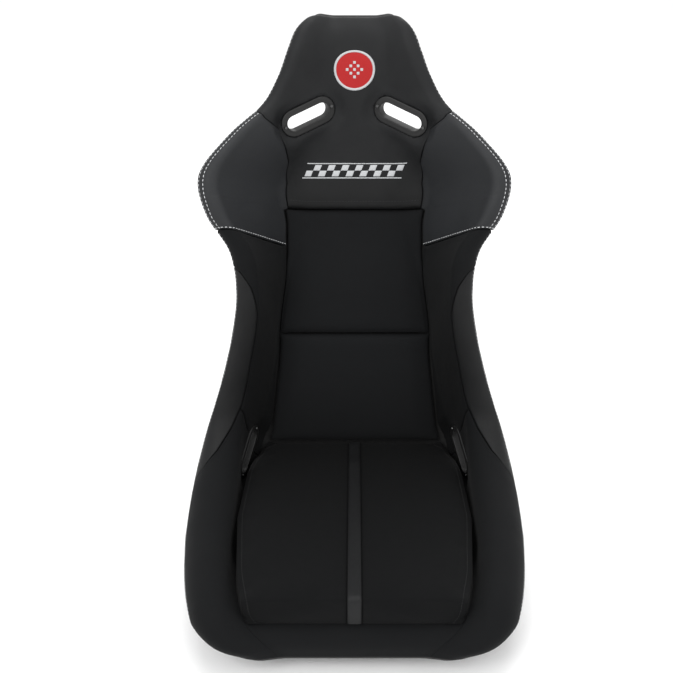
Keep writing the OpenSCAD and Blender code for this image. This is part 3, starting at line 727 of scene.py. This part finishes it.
M_HEAD = leatherette("leatherette_head", 0.0070, 0.62)
M_WING = leatherette("leatherette_wing", 0.0165, 0.6)
M_GRIP = leatherette("leatherette_grip", 0.0034, 0.6)
M_STRIPE = leatherette("leatherette_stripe", 0.0052, 0.6)
M_BOLSTER = woven("woven_bolster", 0.0049)
M_BACK = woven("woven_back", 0.0070)
M_SEAT = woven("woven_seat", 0.0028, sheen=0.01)
M_SHELL = gelcoat("black_gelcoat")
M_TRIM = moulded("edge_rubber", 0.012, 0.62, 1800.0, 0.0001)
M_BEZEL = moulded("bezel_plastic", 0.009, 0.5, spec=0.35)
M_RING = moulded("ring_plastic", 0.016, 0.5)
M_RAIL = powder("powder_coat", 0.014)
M_BOLT = metal("dark_plated_steel", 0.16, 0.34)
M_INSERT = metal("zinc_plated_steel", 0.30, 0.38)
M_SCREW = metal("black_screw_steel", 0.10, 0.32)
M_THREAD = thread("pale_thread", (0.62, 0.63, 0.64))
M_DARK_THREAD = thread("dark_thread", (0.016, 0.016, 0.017), sheen=0.1)
M_SATIN = thread("satin_grey", (0.50, 0.51, 0.52), 0.72, 2400.0)
M_RED = thread("satin_red", (0.40, 0.002, 0.003), 0.72, 2200.0, 0.0)
M_HOOK = tape("hook_tape", 0.012, True)
M_LOOP = tape("loop_tape", 0.014, False)

# ---------------------------------------------------------------- covers
GAP = 0.006                 # half a seam, in v
SEAM_GAP = 0.012            # half a seam, in stations
FULL_T = 16.85              # from here up the head cover is as wide as the shell
WING_TOP = 16.83


def on_edge(t, edge):
    return np.interp(t, edge[:, 0], edge[:, 1])


def bolster_v(t):
    return on_edge(t, BOLSTER_EDGE)


def head_hi(t):
    return np.where(t > FULL_T, 4.0, on_edge(t, HEAD_EDGE) - GAP)


def wing_lo(t):
    return np.where(t < HEAD_T, bolster_v(t), on_edge(t, HEAD_EDGE) + GAP)


def grip_lo(t):
    return on_edge(t, GRIP_EDGE) + GAP


def grip_cut(t):
    return np.where((t >= GRIP_EDGE[0, 0]) & (t <= GRIP_EDGE[-1, 0]), on_edge(t, GRIP_EDGE) - GAP, 4.0)


def thigh_lo(t):
    return LIP_V + GAP - 0.65 * smooth((t - LIP_T) / 0.5)


def head_lift(t, v):
    return 7 * (1 - smooth((t - HEAD_T) / 1.8)) * (1 - smooth(np.abs(v) - 0.9))


def level(c):
    return lambda t: np.full(np.shape(t), float(c))


def other_side(f):
    return tuple(a * MIRROR[-1] for a in f)


HEAD_HEM, WING_HEM, SEAT_HEM = 16, 3.6, 13      # stitched rows inside the edges


def wing_hem(t):
    """Distance of the outer stitched row from the wing's edge, so that it rides on the rim."""
    return 10.5 + 2.8 * (t - 14)


# Painted shade, 0 to 1, stored as the deep attribute: darker towards the lower edge of the head cover and
# low on the inner walls of the torso and thigh covers, the thigh's more so towards the rear.
def head_painted_shade(t, v):
    return 0.85 * (1 - smooth((t - 14.4) / 2.0))


def torso_painted_shade(t, v):
    return 0.75 * (1 - smooth((v - 2.6) / 1.0)) * (1 - 0.6 * smooth((t - 10.8) / 2.6))


def thigh_painted_shade(t, v):
    return 0.7 * (1 - smooth((v - 2.4) / 1.0)) * smooth((t - 2) / 4)


SOFT, TIGHT, FLUSH = (2.6, 1.8), (2.2, 1.2), (0.8, 0.4)
head = Cover("head_cover", HEAD_T, LAST, lambda t: -head_hi(t), head_hi, ("lo", "hi", "start", "end"),
             4.6, 1.2, lift=head_lift, slots=(SHOULDER, other_side(SHOULDER)), seed=2,
             rolls={"start": (10, 8), "end": (8, 6), "lo": SOFT, "hi": SOFT}, wrinkle=0.2,
             sew=[("start", HEAD_HEM, 0.5)], deep=head_painted_shade)
wing = Cover("wing_cover", SEAM_T + SEAM_GAP, WING_TOP, wing_lo, level(4), ("lo", "hi", "start"), 4.6, 1.4,
             slots=(SHOULDER,), seed=3, rolls={"hi": TIGHT, "lo": SOFT}, wrinkle=0.3,
             sew=[("hi", lambda t: wing_hem(t) + 5, 0.9), ("start", WING_HEM, 0.4)])
torso = Cover("torso_cover", HIP_T + SEAM_GAP, SEAM_T - SEAM_GAP, bolster_v, grip_cut,
              ("lo", "hi", "start", "end"), 5.0, 1.4, slots=(LAP,), seed=4, wrinkle=0.35, deep=torso_painted_shade)
grip = Cover("grip_cover", 6.36, 12.62, grip_lo, level(4), ("lo", "hi"), 4.6, 0.5, seed=5,
             rolls={"hi": TIGHT}, wrinkle=0.15)
thigh = Cover("thigh_cover", 0, HIP_T - SEAM_GAP, thigh_lo, grip_cut, ("lo", "hi", "end"), 5.4, 1.6,
              slots=(LAP,), seed=6, wrinkle=0.35, rolls={"lo": FLUSH}, hidden=("lo",), deep=thigh_painted_shade)
lip = Cover("lip_cover", 0, LIP_T - GAP, level(-LIP_V + GAP), level(LIP_V - GAP), ("lo", "hi", "end"),
            5.4, 1.6, seed=7, rolls={"lo": FLUSH, "hi": FLUSH}, hidden=("lo", "hi"))

head.build(0, M_HEAD, "leatherette", "head_pad", [SHOULDER])
lip.build(0, M_BOLSTER, "woven_fabric", "front_lip_pad")
for side, word in SIDES:
    wing.build(side, M_WING, "leatherette", word + "_wing_pad", [SHOULDER])
    torso.build(side, M_BOLSTER, "woven_fabric", word + "_torso_bolster", [LAP])
    grip.build(side, M_GRIP, "leatherette", word + "_grip_panel")
    thigh.build(side, M_BOLSTER, "woven_fabric", word + "_thigh_bolster", [LAP])


# ---------------------------------------------------------------- loose pads
BLOW_FRAMES = 20


def cubic(a, n, axis):
    """Catmull-Rom resampling of a grid to the positions n, in cells, along one axis."""
    a = np.moveaxis(a, axis, 0)
    i = np.clip(np.floor(n).astype(int), 0, len(a) - 2)
    f = (n - i).reshape((-1,) + (1,) * (a.ndim - 1))
    p, q, r, s = (a[np.clip(i + k, 0, len(a) - 1)] for k in (-1, 0, 1, 2))
    return np.moveaxis(catmull(p, q, r, s, f), 0, axis)


def inflate(top, low, cap, pinned_columns=()):
    """Blows a coarse closed skin up as cloth with its underside pinned. Gives its top's rise in mm."""
    m, n = top.shape[:2]
    ob = solid("cloth_blank", top, low)
    pins = list(range(m * n, 2 * m * n)) + [i * n + j for i in range(m) for j in pinned_columns]
    ob.vertex_groups.new(name="pinned").add(pins, 1.0, "ADD")
    mod = ob.modifiers.new("cloth", "CLOTH")
    s = mod.settings
    s.quality, s.mass, s.tension_stiffness, s.compression_stiffness = 6, 0.3, 12, 12
    s.shear_stiffness, s.bending_stiffness, s.air_damping = 5, 0.5, 1.5
    s.vertex_group_mass, s.use_pressure, s.uniform_pressure_force = "pinned", True, 4
    s.effector_weights.gravity = 0
    mod.collision_settings.use_collision = False
    mod.point_cache.frame_start, mod.point_cache.frame_end = 1, BLOW_FRAMES
    scene = bpy.context.scene
    for f in range(1, BLOW_FRAMES + 1):
        scene.frame_set(f)
    blown = ob.evaluated_get(bpy.context.evaluated_depsgraph_get()).data
    co = np.empty(len(blown.vertices) * 3)
    blown.vertices.foreach_get("co", co)
    after = co.reshape(-1, 3)[:m * n].reshape(m, n, 3) / MM
    scene.frame_set(1)
    bpy.data.objects.remove(ob)
    rise = np.sum((after - top) * grid_normals(top, top - low), -1)
    return cap * np.tanh(rise / cap)


class Pad(Sheet):
    """A loose foam pad: flat panels between xs borders, a low and a top height over the spine."""

    def __init__(self, t0, t1, bands, low, top, lean, cap, deep, rolls, step=4.6, seed=1, coarse=(26, 9),
                 sew=()):
        tt = np.linspace(t0, t1, 600)

        def put(t, x, k):
            slope = lean[0] + (lean[1] - lean[0]) * (t - t0) / (t1 - t0)
            return spot(t - slope * (k - REST_LOW), x, k)

        def points(t, x):
            s = section(t)
            kl = low(t, s, x)
            kt = top(t, s, x, kl)
            return put(t, x, kt), put(t, x, kl)

        def columns(t, per_band, seams):
            borders = bands(t)
            xs = []
            for a, b in zip(borders[:-1], borders[1:]):
                q = a[:, None] + (graded(b - a, per_band(b - a), True, True) if seams
                                  else (b - a)[:, None] * np.linspace(0, 1, per_band(b - a))[None])
                xs.append(q if not xs else q[:, 1:])
            return np.concatenate(xs, 1)

        run = arc_length(points(tt, 0 * tt)[0][:, None, :], 0)[:, 0]
        c_rows = np.interp(np.linspace(0, run[-1], coarse[0]), run, tt)
        c_x = columns(c_rows, lambda w: coarse[1] if w.max() > 40 else 3, False)
        c_t = np.broadcast_to(c_rows[:, None], c_x.shape)
        c_top, c_low = points(c_t, c_x)
        pins = [int(np.argmin(np.abs(c_x[5] - b[5]))) for b in bands(c_rows)[1:-1]]
        rise = inflate(c_top, c_low, cap, pins)

        rows = graded(run[-1], int(run[-1] / step), True, True)[0]
        t = np.interp(rows, run, tt)
        x = columns(t, lambda w: max(int(w.max() / step), 2), True)
        self.t = np.broadcast_to(t[:, None], x.shape)
        p, self.low = points(self.t, x)
        out = p - self.low
        n0 = self.measure(p, out)
        rise = cubic(rise, np.interp(rows, [0, run[-1]], [0, coarse[0] - 1]), 0)
        h = np.stack([np.interp(x[i], c_x[min(int(i * (coarse[0] - 1) / len(x)), coarse[0] - 1)],
                                rise[i]) for i in range(len(x))])
        for _ in range(3):
            h[:, 1:-1] = 0.25 * h[:, :-2] + 0.5 * h[:, 1:-1] + 0.25 * h[:, 2:]
            h[1:-1] = 0.25 * h[:-2] + 0.5 * h[1:-1] + 0.25 * h[2:]
        near = np.full(x.shape, 1e3)
        for e in self.edges:
            h = h + rolled(self.edges[e], *rolls[e])
            near = np.minimum(near, self.edges[e])
        for b in bands(t)[1:-1]:
            away = np.abs(x - b[:, None])
            h = h - 2.2 * np.exp(-away / 2.6)
            near = np.minimum(near, away)
        flat = (x + 300 + 90.0 * seed, rows[:, None] + 0 * x)
        h = h + 0.3 * lattice_noise(flat, 60, seed) + 0.12 * lattice_noise(flat, 20, seed + 5)
        h = h + 0.2 * np.exp(-((near - 8) / 8) ** 2) * lattice_noise(flat, 8, seed + 8)
        # dark is painted shade, stored as the seam attribute: darker within a few millimetres of the edges,
        # the pinched grooves between panels and the stitched grooves.
        dark = np.exp(-near / 5)
        for e, off, depth in sew:
            h = h + groove(self.edges[e] - off, depth, 1.6)
            dark = np.maximum(dark, depth * np.exp(-((self.edges[e] - off) / 1.8) ** 2))
        self.p = p + n0 * h[..., None]
        self.n = grid_normals(self.p, out)
        self.x, self.uv, self.dark = x, np.stack(flat, -1), np.clip(dark, 0, 1)
        # deep: painted shade from 0 to 1, the same along each row.
        self.deep = np.clip(deep(self.t), 0, 1) + 0 * x

    def build(self, name, mat, body, node, fill):
        ob = solid(name, self.p, self.low, self.uv, {"seam": self.dark, "deep": self.deep})
        finish_piece(ob, mat, body, [node])


def floor_at(s, x, d):
    e = np.maximum(np.abs(x) - s[7], 0)
    r = s[4] + d
    return s[4] - np.sqrt(np.maximum(r * r - e * e, 1))


PAD_GAP, WING_CLEAR = 1.2, 3


def back_half(t):
    s = section(t)
    return s[7] + s[4] * np.sin((bolster_v(t) - 1) * s[3]) - PAD_GAP - WING_CLEAR * smooth((t - 13.1) / 0.4)


def back_low(t, s, x):
    return floor_at(s, x, -REST_LOW)


def back_top(t, s, x, low):
    e = np.abs(x) / back_half(t)
    face_k = BACK_RISE * (1 - smooth((t - 12.6) / 1.7))
    return np.maximum(face_k - 2 * e ** 8, low + 8)


def back_bands(t):
    return [-back_half(t), back_half(t)]


REAR_Z, REAR_Y, RISE = 117, 165, 0.075      # the cushion's top plane: a height, where, and its slope
FRONT_Y, FRONT_SOFT = -295, 7               # its front face, and the softness of the edge above it
CUSHION_SIDE, CUSHION_OVER = 1.5, 3.9       # clearances beside it and over the covers
STRIPE_HALF = 11.8


def cushion_half(t):
    return on_edge(t, CUSHION_EDGE) - CUSHION_SIDE


def cushion_low(t, s, x):
    over = floor_at(s, x, 0) + CUSHION_OVER
    w = smooth((t - 4.4) / 0.3) * (1 - smooth((np.abs(x) - s[7] + 16) / 8))
    return over + (REST_LOW - over) * w


def cushion_top(t, s, x, low):
    (y, z), (uy, uz) = np.moveaxis(s[0], -1, 0), np.moveaxis(s[1], -1, 0)
    plane = (REAR_Z + RISE * (REAR_Y - y) - z) / (uz + RISE * uy)
    leans = uy < -0.05
    front = np.where(leans & (y < -200), (FRONT_Y - y) / np.where(leans, uy, -0.05), 400)
    soft = FRONT_SOFT * np.log1p(np.exp(-np.abs(plane - front) / FRONT_SOFT))
    e = np.abs(x) / cushion_half(t)
    return np.maximum(np.minimum(plane, front) - soft - 11 * e ** 12, low + 6)


def cushion_bands(t):
    half = cushion_half(t)
    return [-half, 0 * half - STRIPE_HALF, 0 * half + STRIPE_HALF, half]


PAD_DEPTH = BACK_RISE - REST_LOW
FOOT_LEAN, SEAM_LEAN = 0.26 / PAD_DEPTH, 0.11 / PAD_DEPTH      # stations per mm of height
SPLIT = 0.016
# The function after each pad's cap is its painted shade: even on the upper back pad, darker towards the foot
# of the lumbar pad and towards the rear of the cushion.
upper = Pad(SPLIT_T + SPLIT, HEAD_T - 0.03, back_bands, back_low, back_top, (SEAM_LEAN, 0), 5.0,
            lambda t: 0.15 + 0 * t, {"start": (9, 5), "end": (4, 2), "lo": (6, 3), "hi": (6, 3)}, seed=11)
lumbar = Pad(LUMBAR_T, SPLIT_T - SPLIT, back_bands, back_low, back_top, (FOOT_LEAN, SEAM_LEAN), 6.5,
             lambda t: 0.45 * (1 - smooth((t - 9.2) / 2.6)) + 0.12,
             {"start": (4, 2), "end": (11, 6), "lo": (6, 3), "hi": (6, 3)}, seed=12)
seat = Pad(2.25, 9.05, cushion_bands, cushion_low, cushion_top, (0, 0), 5.0,
           lambda t: 0.85 * smooth((t - 3.2) / 6),
           {"start": (3.5, 2), "end": (3, 1.5), "lo": (5, 3), "hi": (5, 3)}, seed=13, coarse=(34, 11),
           sew=[("lo", SEAT_HEM, 0.6), ("hi", SEAT_HEM, 0.6)])
upper.build("upper_back_foam", M_BACK, "upper_pad", "upper_back_pad", 0.7)
lumbar.build("lumbar_foam", M_BACK, "lumbar", "lumbar_pad", 0.75)
seat.build("cushion_foam", M_SEAT, "cushion", "seat_cushion", 0.75)


def centre_stripe():
    """The leatherette stripe laid down the middle of the cushion, between its two panels."""
    w = np.array([-10.9, -10.1, -8.6, -5.5, -2, 0, 2, 5.5, 8.6, 10.1, 10.9])
    rows, m = [], len(seat.t)
    for i in range(m):
        nrm = unit(interp3(w * 0, seat.x[i], seat.n[i]))
        from_end = min(i, m - 1 - i)
        puff = 0.5 + 1.7 * (1 - (np.abs(w) / w[-1]) ** 6) * min(1, 0.35 + 0.2 * from_end)
        middle = interp3(w * 0, seat.x[i], seat.p[i])
        middle[:, 0] = w
        rows.append(middle + nrm * puff[:, None])
    top = np.array(rows)
    run = arc_length(top[:, 5:6], 0)
    uv = np.stack(np.broadcast_arrays(top[..., 0], run), -1)
    # Painted shade: darker along the stripe's edges and towards the rear of the cushion.
    seam = np.exp(-(w[-1] - np.abs(top[..., 0])) / 1.6)
    deep = 0.7 * smooth((seat.t[:, :1] - 3.2) / 6) + 0 * seam
    ob = solid("centre_stripe", top, top - [0, 0, 1.6], uv, {"seam": seam, "deep": deep})
    finish_piece(ob, M_STRIPE, "cushion", ["cushion_stripe"])


centre_stripe()


# ---------------------------------------------------------------- shell, edge trims, slots
def build_shell():
    tt = np.linspace(0, LAST, 600)
    run = arc_length(face(tt, 0 * tt, PAD_T + SHELL_T / 2)[:, None, :], 0)[:, 0]
    t = np.interp(np.linspace(0, run[-1], 200), run, tt)
    skirt = np.array([2.6, 5.2])
    v = np.concatenate([-4 - skirt[::-1], np.linspace(-4, 4, 105), 4 + skirt])
    tg, vg = np.meshgrid(t, v, indexing="ij")
    inner, outer = face(tg, vg, PAD_T), face(tg, vg, PAD_T + SHELL_T)
    uv = np.stack([arc_length(outer, 1), arc_length(outer, 0)], -1)
    ob = solid("laminate_shell", inner, outer, uv, {"inside": (1 + 0 * tg, 0 * tg)})
    for f in (SHOULDER, LAP):
        for s in (1, -1):
            cut_slot(ob, f, s, SHELL_SPOOL)
    shade(ob, 35)
    finish_piece(ob, M_SHELL, "seat_shell", ["shell"])


def rounded(n=16, power=0.55):
    """A closed outline between a circle and a square."""
    a = np.linspace(0, 2 * np.pi, n, endpoint=False)
    c, s = np.cos(a), np.sin(a)
    return np.sign(c) * np.abs(c) ** power, np.sign(s) * np.abs(s) ** power


def sweep(name, rings, node):
    m, w = rings.shape[:2]
    run = arc_length(rings[:, :1], 0)
    uv = np.stack(np.broadcast_arrays(run, np.arange(w)[None]), -1).reshape(-1, 2)
    ob = new_object(name, rings.reshape(-1, 3), rod_faces(m, w), uv)
    finish_piece(ob, M_TRIM, "seat_shell", [node])


def build_trims():
    """Rounded strips: down both sides, past the rim, and across both ends."""
    a, b = rounded()
    t = np.linspace(-0.02, LAST + 0.02, 420)[:, None]
    for side, word in SIDES:
        rings = face(t, 8.1 + 3.1 * a[None], 10.2 + 6.4 * b[None]) * MIRROR[side]
        sweep(word + "_edge_strip", rings, word + "_edge_trim")
    v = np.linspace(-4, 4, 150)[:, None]
    sweep("front_edge_strip", face(-0.14 + 0.115 * a[None], v, 9.2 + 7.4 * b[None]), "front_edge_trim")
    sweep("top_edge_strip", face(LAST + 0.135 + 0.115 * a[None], v, 12 + 4.6 * b[None]), "top_edge_trim")


def build_bezels():
    """Sleeve, raised inner lip, step, ring and rounded outer edge of each slot surround."""
    r_in, r_out, deep = SLOT_W / 2, FLANGE_R, -19.6
    profile = [(r_in, deep), (r_in, 0.6), (r_in + 0.5, 1.6), (r_in + 1.4, 2.0), (r_in + 2.2, 2.0),
               (r_in + 2.6, 1.55), (r_in + 3.3, 1.5), (r_out - 2.2, 1.5), (r_out - 1.2, 1.3),
               (r_out - 0.4, 0.7), (r_out, -0.3), (r_out, BEZEL_LOW), (SLEEVE_R, BEZEL_LOW),
               (SLEEVE_R, deep)]
    for kind, f in (("shoulder", SHOULDER), ("lap", LAP)):
        for side, word in SIDES:
            v, faces = loops_solid(profile, f, side)
            ob = new_object(f"{word}_{kind}_surround", v, faces, v[:, [0, 2]], flat_angle=28)
            finish_piece(ob, M_BEZEL, "seat_shell", [f"{word}_{kind}_bezel"])


build_shell()
build_trims()
build_bezels()

# ---------------------------------------------------------------- tapes
HOOK_LOW = -PAD_T + 0.1
LOOP_LOW = HOOK_LOW + 1.8


def tapes(name, runs, tape, low, body, node, mat):
    """Pairs of strips, with thinner edges. A tape is its offset from the centre and its width."""
    x, w = tape
    rows, columns = 40, 9
    parts, uvs = [], []
    for t0, t1 in runs:
        for s in (-1, 1):
            t = np.linspace(t0, t1, rows)[:, None]
            xs = (s * x + np.linspace(-w / 2, w / 2, columns))[None]
            edge = np.minimum(1, (w / 2 - np.abs(xs - s * x)) / 1.2)
            top, base = spot(t, xs, low + 1.15 + 0.4 * edge), spot(t, xs, low)
            parts.append((stacked(top, base), skin_faces(rows, columns)))
            flat = np.stack([arc_length(top, 1), arc_length(top, 0)], -1).reshape(-1, 2)
            uvs += [flat, flat]
    ob = join(name, parts, np.concatenate(uvs))
    finish_piece(ob, mat, body, [node])


PAN, LUMBAR, UPPER = [(5, 7.9)], [(9.7, 11.4)], [(12.05, 13.8)]
PAN_TAPE, BACK_TAPE = (80, 40), (52, 36)
for name, runs, strip, body, node in (
        ("pan_hook_tape", PAN, PAN_TAPE, "seat_shell", "pan_hook_strips"),
        ("cushion_loop_tape", PAN, PAN_TAPE, "cushion", "cushion_loop_strips"),
        ("back_hook_tape", LUMBAR + UPPER, BACK_TAPE, "seat_shell", "back_hook_strips"),
        ("upper_loop_tape", UPPER, BACK_TAPE, "upper_pad", "upper_back_loop_strips"),
        ("lumbar_loop_tape", LUMBAR, BACK_TAPE, "lumbar", "lumbar_loop_strips")):
    if "hook" in name:
        tapes(name, runs, strip, HOOK_LOW, body, node, M_HOOK)
    else:
        tapes(name, runs, strip, LOOP_LOW, body, node, M_LOOP)


# ---------------------------------------------------------------- stitching
def stitch_piece(name, lines, body, mat, **kw):
    parts = [stitches(pts, nrm, seed=k, **kw) for k, (pts, nrm) in enumerate(lines) if len(pts) > 2]
    finish_piece(join(name, parts), mat, body)


def both_sides(*lines):
    out = []
    for pts, nrm in lines:
        out += [(pts, nrm), (pts * MIRROR[-1], nrm * MIRROR[-1])]
    return out


wing_rows = both_sides(wing.line("hi", wing_hem), wing.line("hi", lambda t: wing_hem(t) + 10),
                       wing.line("start", WING_HEM))
edge_rows = both_sides(head.line("hi", lambda t: 11.5 + 1.3 * (t - 18.6) ** 2, 16.95, 20.8),
                       grip.line("hi", lambda t: 19.5 - 1.9 * (t - 7), 6.9, 12.6),
                       thigh.line("hi", lambda t: 11 + 2.0 * (t - 3), 1.6, 6.3),
                       torso.line("hi", 8.5, 12.7, 13.5))
stitch_piece("wing_stitching", wing_rows, "seat_shell", M_THREAD, pitch=7.2, length=4.8, height=0.7,
             width=1.5)
stitch_piece("edge_stitching", edge_rows, "seat_shell", M_THREAD, pitch=7.0, length=4.2, height=0.6,
             width=1.2)
stitch_piece("head_hem_stitching", [head.line("start", HEAD_HEM)], "seat_shell", M_DARK_THREAD, width=0.8)
stitch_piece("cushion_stitching", [seat.line("lo", SEAT_HEM), seat.line("hi", SEAT_HEM)], "cushion",
             M_DARK_THREAD, width=0.8)


# ---------------------------------------------------------------- badge and band
BADGE_T, BAND_T = 18.39, 15.355     # the stations of their centres


def station_at(t, b):
    """The station b mm up from station t, along the centre line."""
    return t + b * 0.1 / np.linalg.norm(face(t + 0.05, 0) - face(t - 0.05, 0))


def v_at(x, t):
    """The v of the place x mm from the centre at station t."""
    s, far = section(t), np.abs(x)
    bend = np.arcsin(np.clip((far - s[7]) / s[4], 0, 0.99)) / s[3]
    return np.sign(x) * np.where(far < s[7], far / s[7], 1 + bend)


def on_head(a, b):
    """Points on the head cover at a across and b up from the badge's centre, with normals."""
    a, b = np.broadcast_arrays(np.asarray(a, float), b)
    t = station_at(BADGE_T, b)
    v = v_at(a, t)
    return face(t, v, -1.3), normal_at(t, v)


def build_badge():
    rings, around = 14, 96
    rad = np.linspace(0.02, 33.2, rings)[:, None]
    ang = np.linspace(0, 2 * np.pi, around + 1)[None]
    p, n = on_head(rad * np.cos(ang), rad * np.sin(ang))
    top = p + n * (0.9 + 0.5 * np.sqrt(np.clip(1 - (rad / 34) ** 4, 0, 1)))[..., None]
    ob = solid("badge_field", top, p - n * 1.6, np.stack([rad * np.cos(ang), rad * np.sin(ang)], -1))
    finish_piece(ob, M_RED, "seat_shell", ["head_badge"])

    ang = np.linspace(0, 2 * np.pi, 400, endpoint=False)
    phi = np.linspace(0, 2 * np.pi, 10, endpoint=False)
    twist = 1 + 0.10 * np.abs(np.sin(75 * ang[:, None] + phi[None]))
    r = 34.3 + 2.1 * twist * np.cos(phi)[None]
    p, n = on_head(r * np.cos(ang[:, None]), r * np.sin(ang[:, None]))
    p = p + n * (0.6 + 1.5 * twist * np.sin(phi)[None])[..., None]
    verts = p.reshape(-1, 3)
    ob = new_object("badge_border", verts, band_faces(*p.shape[:2], True), verts[:, [0, 2]])
    finish_piece(ob, M_SATIN, "seat_shell")

    cells, size = [], 6.4
    for i in range(-2, 3):
        for j in range(-2, 3):
            if (i + j) % 2 == 0 and abs(i) + abs(j) < 4:
                cells.append(raised_cell(on_head, i * size, j * size, size, size, 0.0, 1.5))
    ob = join("badge_motif", cells)
    finish_piece(ob, M_SATIN, "seat_shell")


def raised_cell(where, a, b, w, h, slant, height):
    """A satin-stitched block: w by h about (a, b), sheared by slant, domed with rounded borders."""
    i, j = np.meshgrid(np.linspace(-1, 1, 9), np.linspace(-1, 1, 9), indexing="ij")
    x = a + i * w / 2 * 0.97 + slant * j * h / 2
    y = b + j * h / 2 * 0.97
    p, n = where(x, y)
    dome = np.sqrt(np.clip((1 - i ** 8) * (1 - j ** 8), 0, 1))
    ridge = 0.08 * np.cos(j * math.pi * 6)
    top = p + n * (height * (0.35 + 0.65 * dome) + ridge * dome)[..., None]
    low = p - n * 0.9
    return stacked(top, low), skin_faces(9, 9)


def build_band():
    def where(a, b):
        t = station_at(BAND_T, b)
        v = v_at(a, t)
        return face(t, v, -(head_lift(t, v) + 1.1)), normal_at(t, v)

    cells, columns, wide, high = [], 14, 12.6, 10.6
    for i in range(columns):
        for j in (0, 1):
            if (i + j) % 2 == 0:
                a = (i - (columns - 1) / 2) * wide + (j - 0.5) * 4
                cells.append(raised_cell(where, a, (j - 0.5) * high, wide, high, 0.38, 1.1))
    for j in (-1, 1):
        for i in range(24):
            cells.append(raised_cell(where, (i - 11.5) * 7.6 + j * 5, j * 13.2, 7.7, 1.9, 0.38, 0.9))
    ob = join("chequer_band", cells)
    finish_piece(ob, M_SATIN, "seat_shell", ["stitched_band"])


build_badge()
build_band()

# ---------------------------------------------------------------- kept CAD hardware
KEPT = {"base_bolts": (M_BOLT, 0.35), "shoulder_screws": (M_SCREW, 0.3), "lap_screws": (M_SCREW, 0.3),
        "insert_rivets": (M_BOLT, 0.3), "left_base_rail": (M_RAIL, 0.8), "right_base_rail": (M_RAIL, 0.8),
        "left_side_insert": (M_INSERT, 0.6), "right_side_insert": (M_INSERT, 0.6)}
for word in ("left", "right"):
    for kind in ("shoulder", "lap"):
        KEPT[f"{word}_{kind}_back_ring"] = (M_RING, 0.6)
for node, (mat, width) in KEPT.items():
    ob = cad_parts[node]
    ob.data.materials.clear()
    ob.data.materials.append(mat)
    bevel = ob.modifiers.new("edge", "BEVEL")
    bevel.width, bevel.segments = width * MM, 2
    bevel.limit_method, bevel.angle_limit = "ANGLE", math.radians(32)
    bevel.harden_normals = False

# ---------------------------------------------------------------- floor, light, camera
def studio():
    me = bpy.data.meshes.new("floor")
    v = [(-6, -6, -0.0005), (6, -6, -0.0005), (6, 6, -0.0005), (-6, 6, -0.0005)]
    me.from_pydata(v, [], [(0, 1, 2, 3)])
    floor = bpy.data.objects.new("floor", me)
    bpy.context.scene.collection.objects.link(floor)
    s = Shader("floor_white", 0.9, Specular_IOR_Level=0.1)
    s.bsdf.inputs["Base Color"].default_value = (0.93, 0.93, 0.93, 1)
    me.materials.append(s.mat)

    world = bpy.data.worlds.new("studio")
    world.use_nodes = True
    background = world.node_tree.nodes["Background"]
    background.inputs["Color"].default_value = (1, 1, 1, 1)
    background.inputs["Strength"].default_value = 1.0
    bpy.context.scene.world = world

    for name, place, aim, size, power in (("key", (-1.5, -2.2, 2.6), (0, 0, 0.4), 1.6, 45),
                                          ("fill", (1.9, -1.4, 1.8), (0, 0, 0.4), 1.8, 16),
                                          ("top", (0, 0.3, 3.0), (0, 0, 0.3), 2.0, 38),
                                          ("rim", (0.3, 2.6, 2.0), (0, 0, 0.5), 1.4, 16)):
        light = bpy.data.lights.new(name, "AREA")
        light.size, light.energy = size, power
        ob = bpy.data.objects.new(name, light)
        ob.location = place
        ob.rotation_euler = (Vector(aim) - Vector(place)).to_track_quat("-Z", "Y").to_euler()
        bpy.context.scene.collection.objects.link(ob)

    camera = bpy.data.objects.new("camera", bpy.data.cameras.new("camera"))
    camera.location = (0, -1.5806, 1.4036)
    camera.rotation_euler = (math.radians(59), 0, 0)
    camera.data.lens, camera.data.sensor_width, camera.data.shift_x = 59.96, 36, -0.0267
    bpy.context.scene.collection.objects.link(camera)
    bpy.context.scene.camera = camera
    view = bpy.context.scene.view_settings
    view.view_transform, view.look = "Standard", "None"


studio()
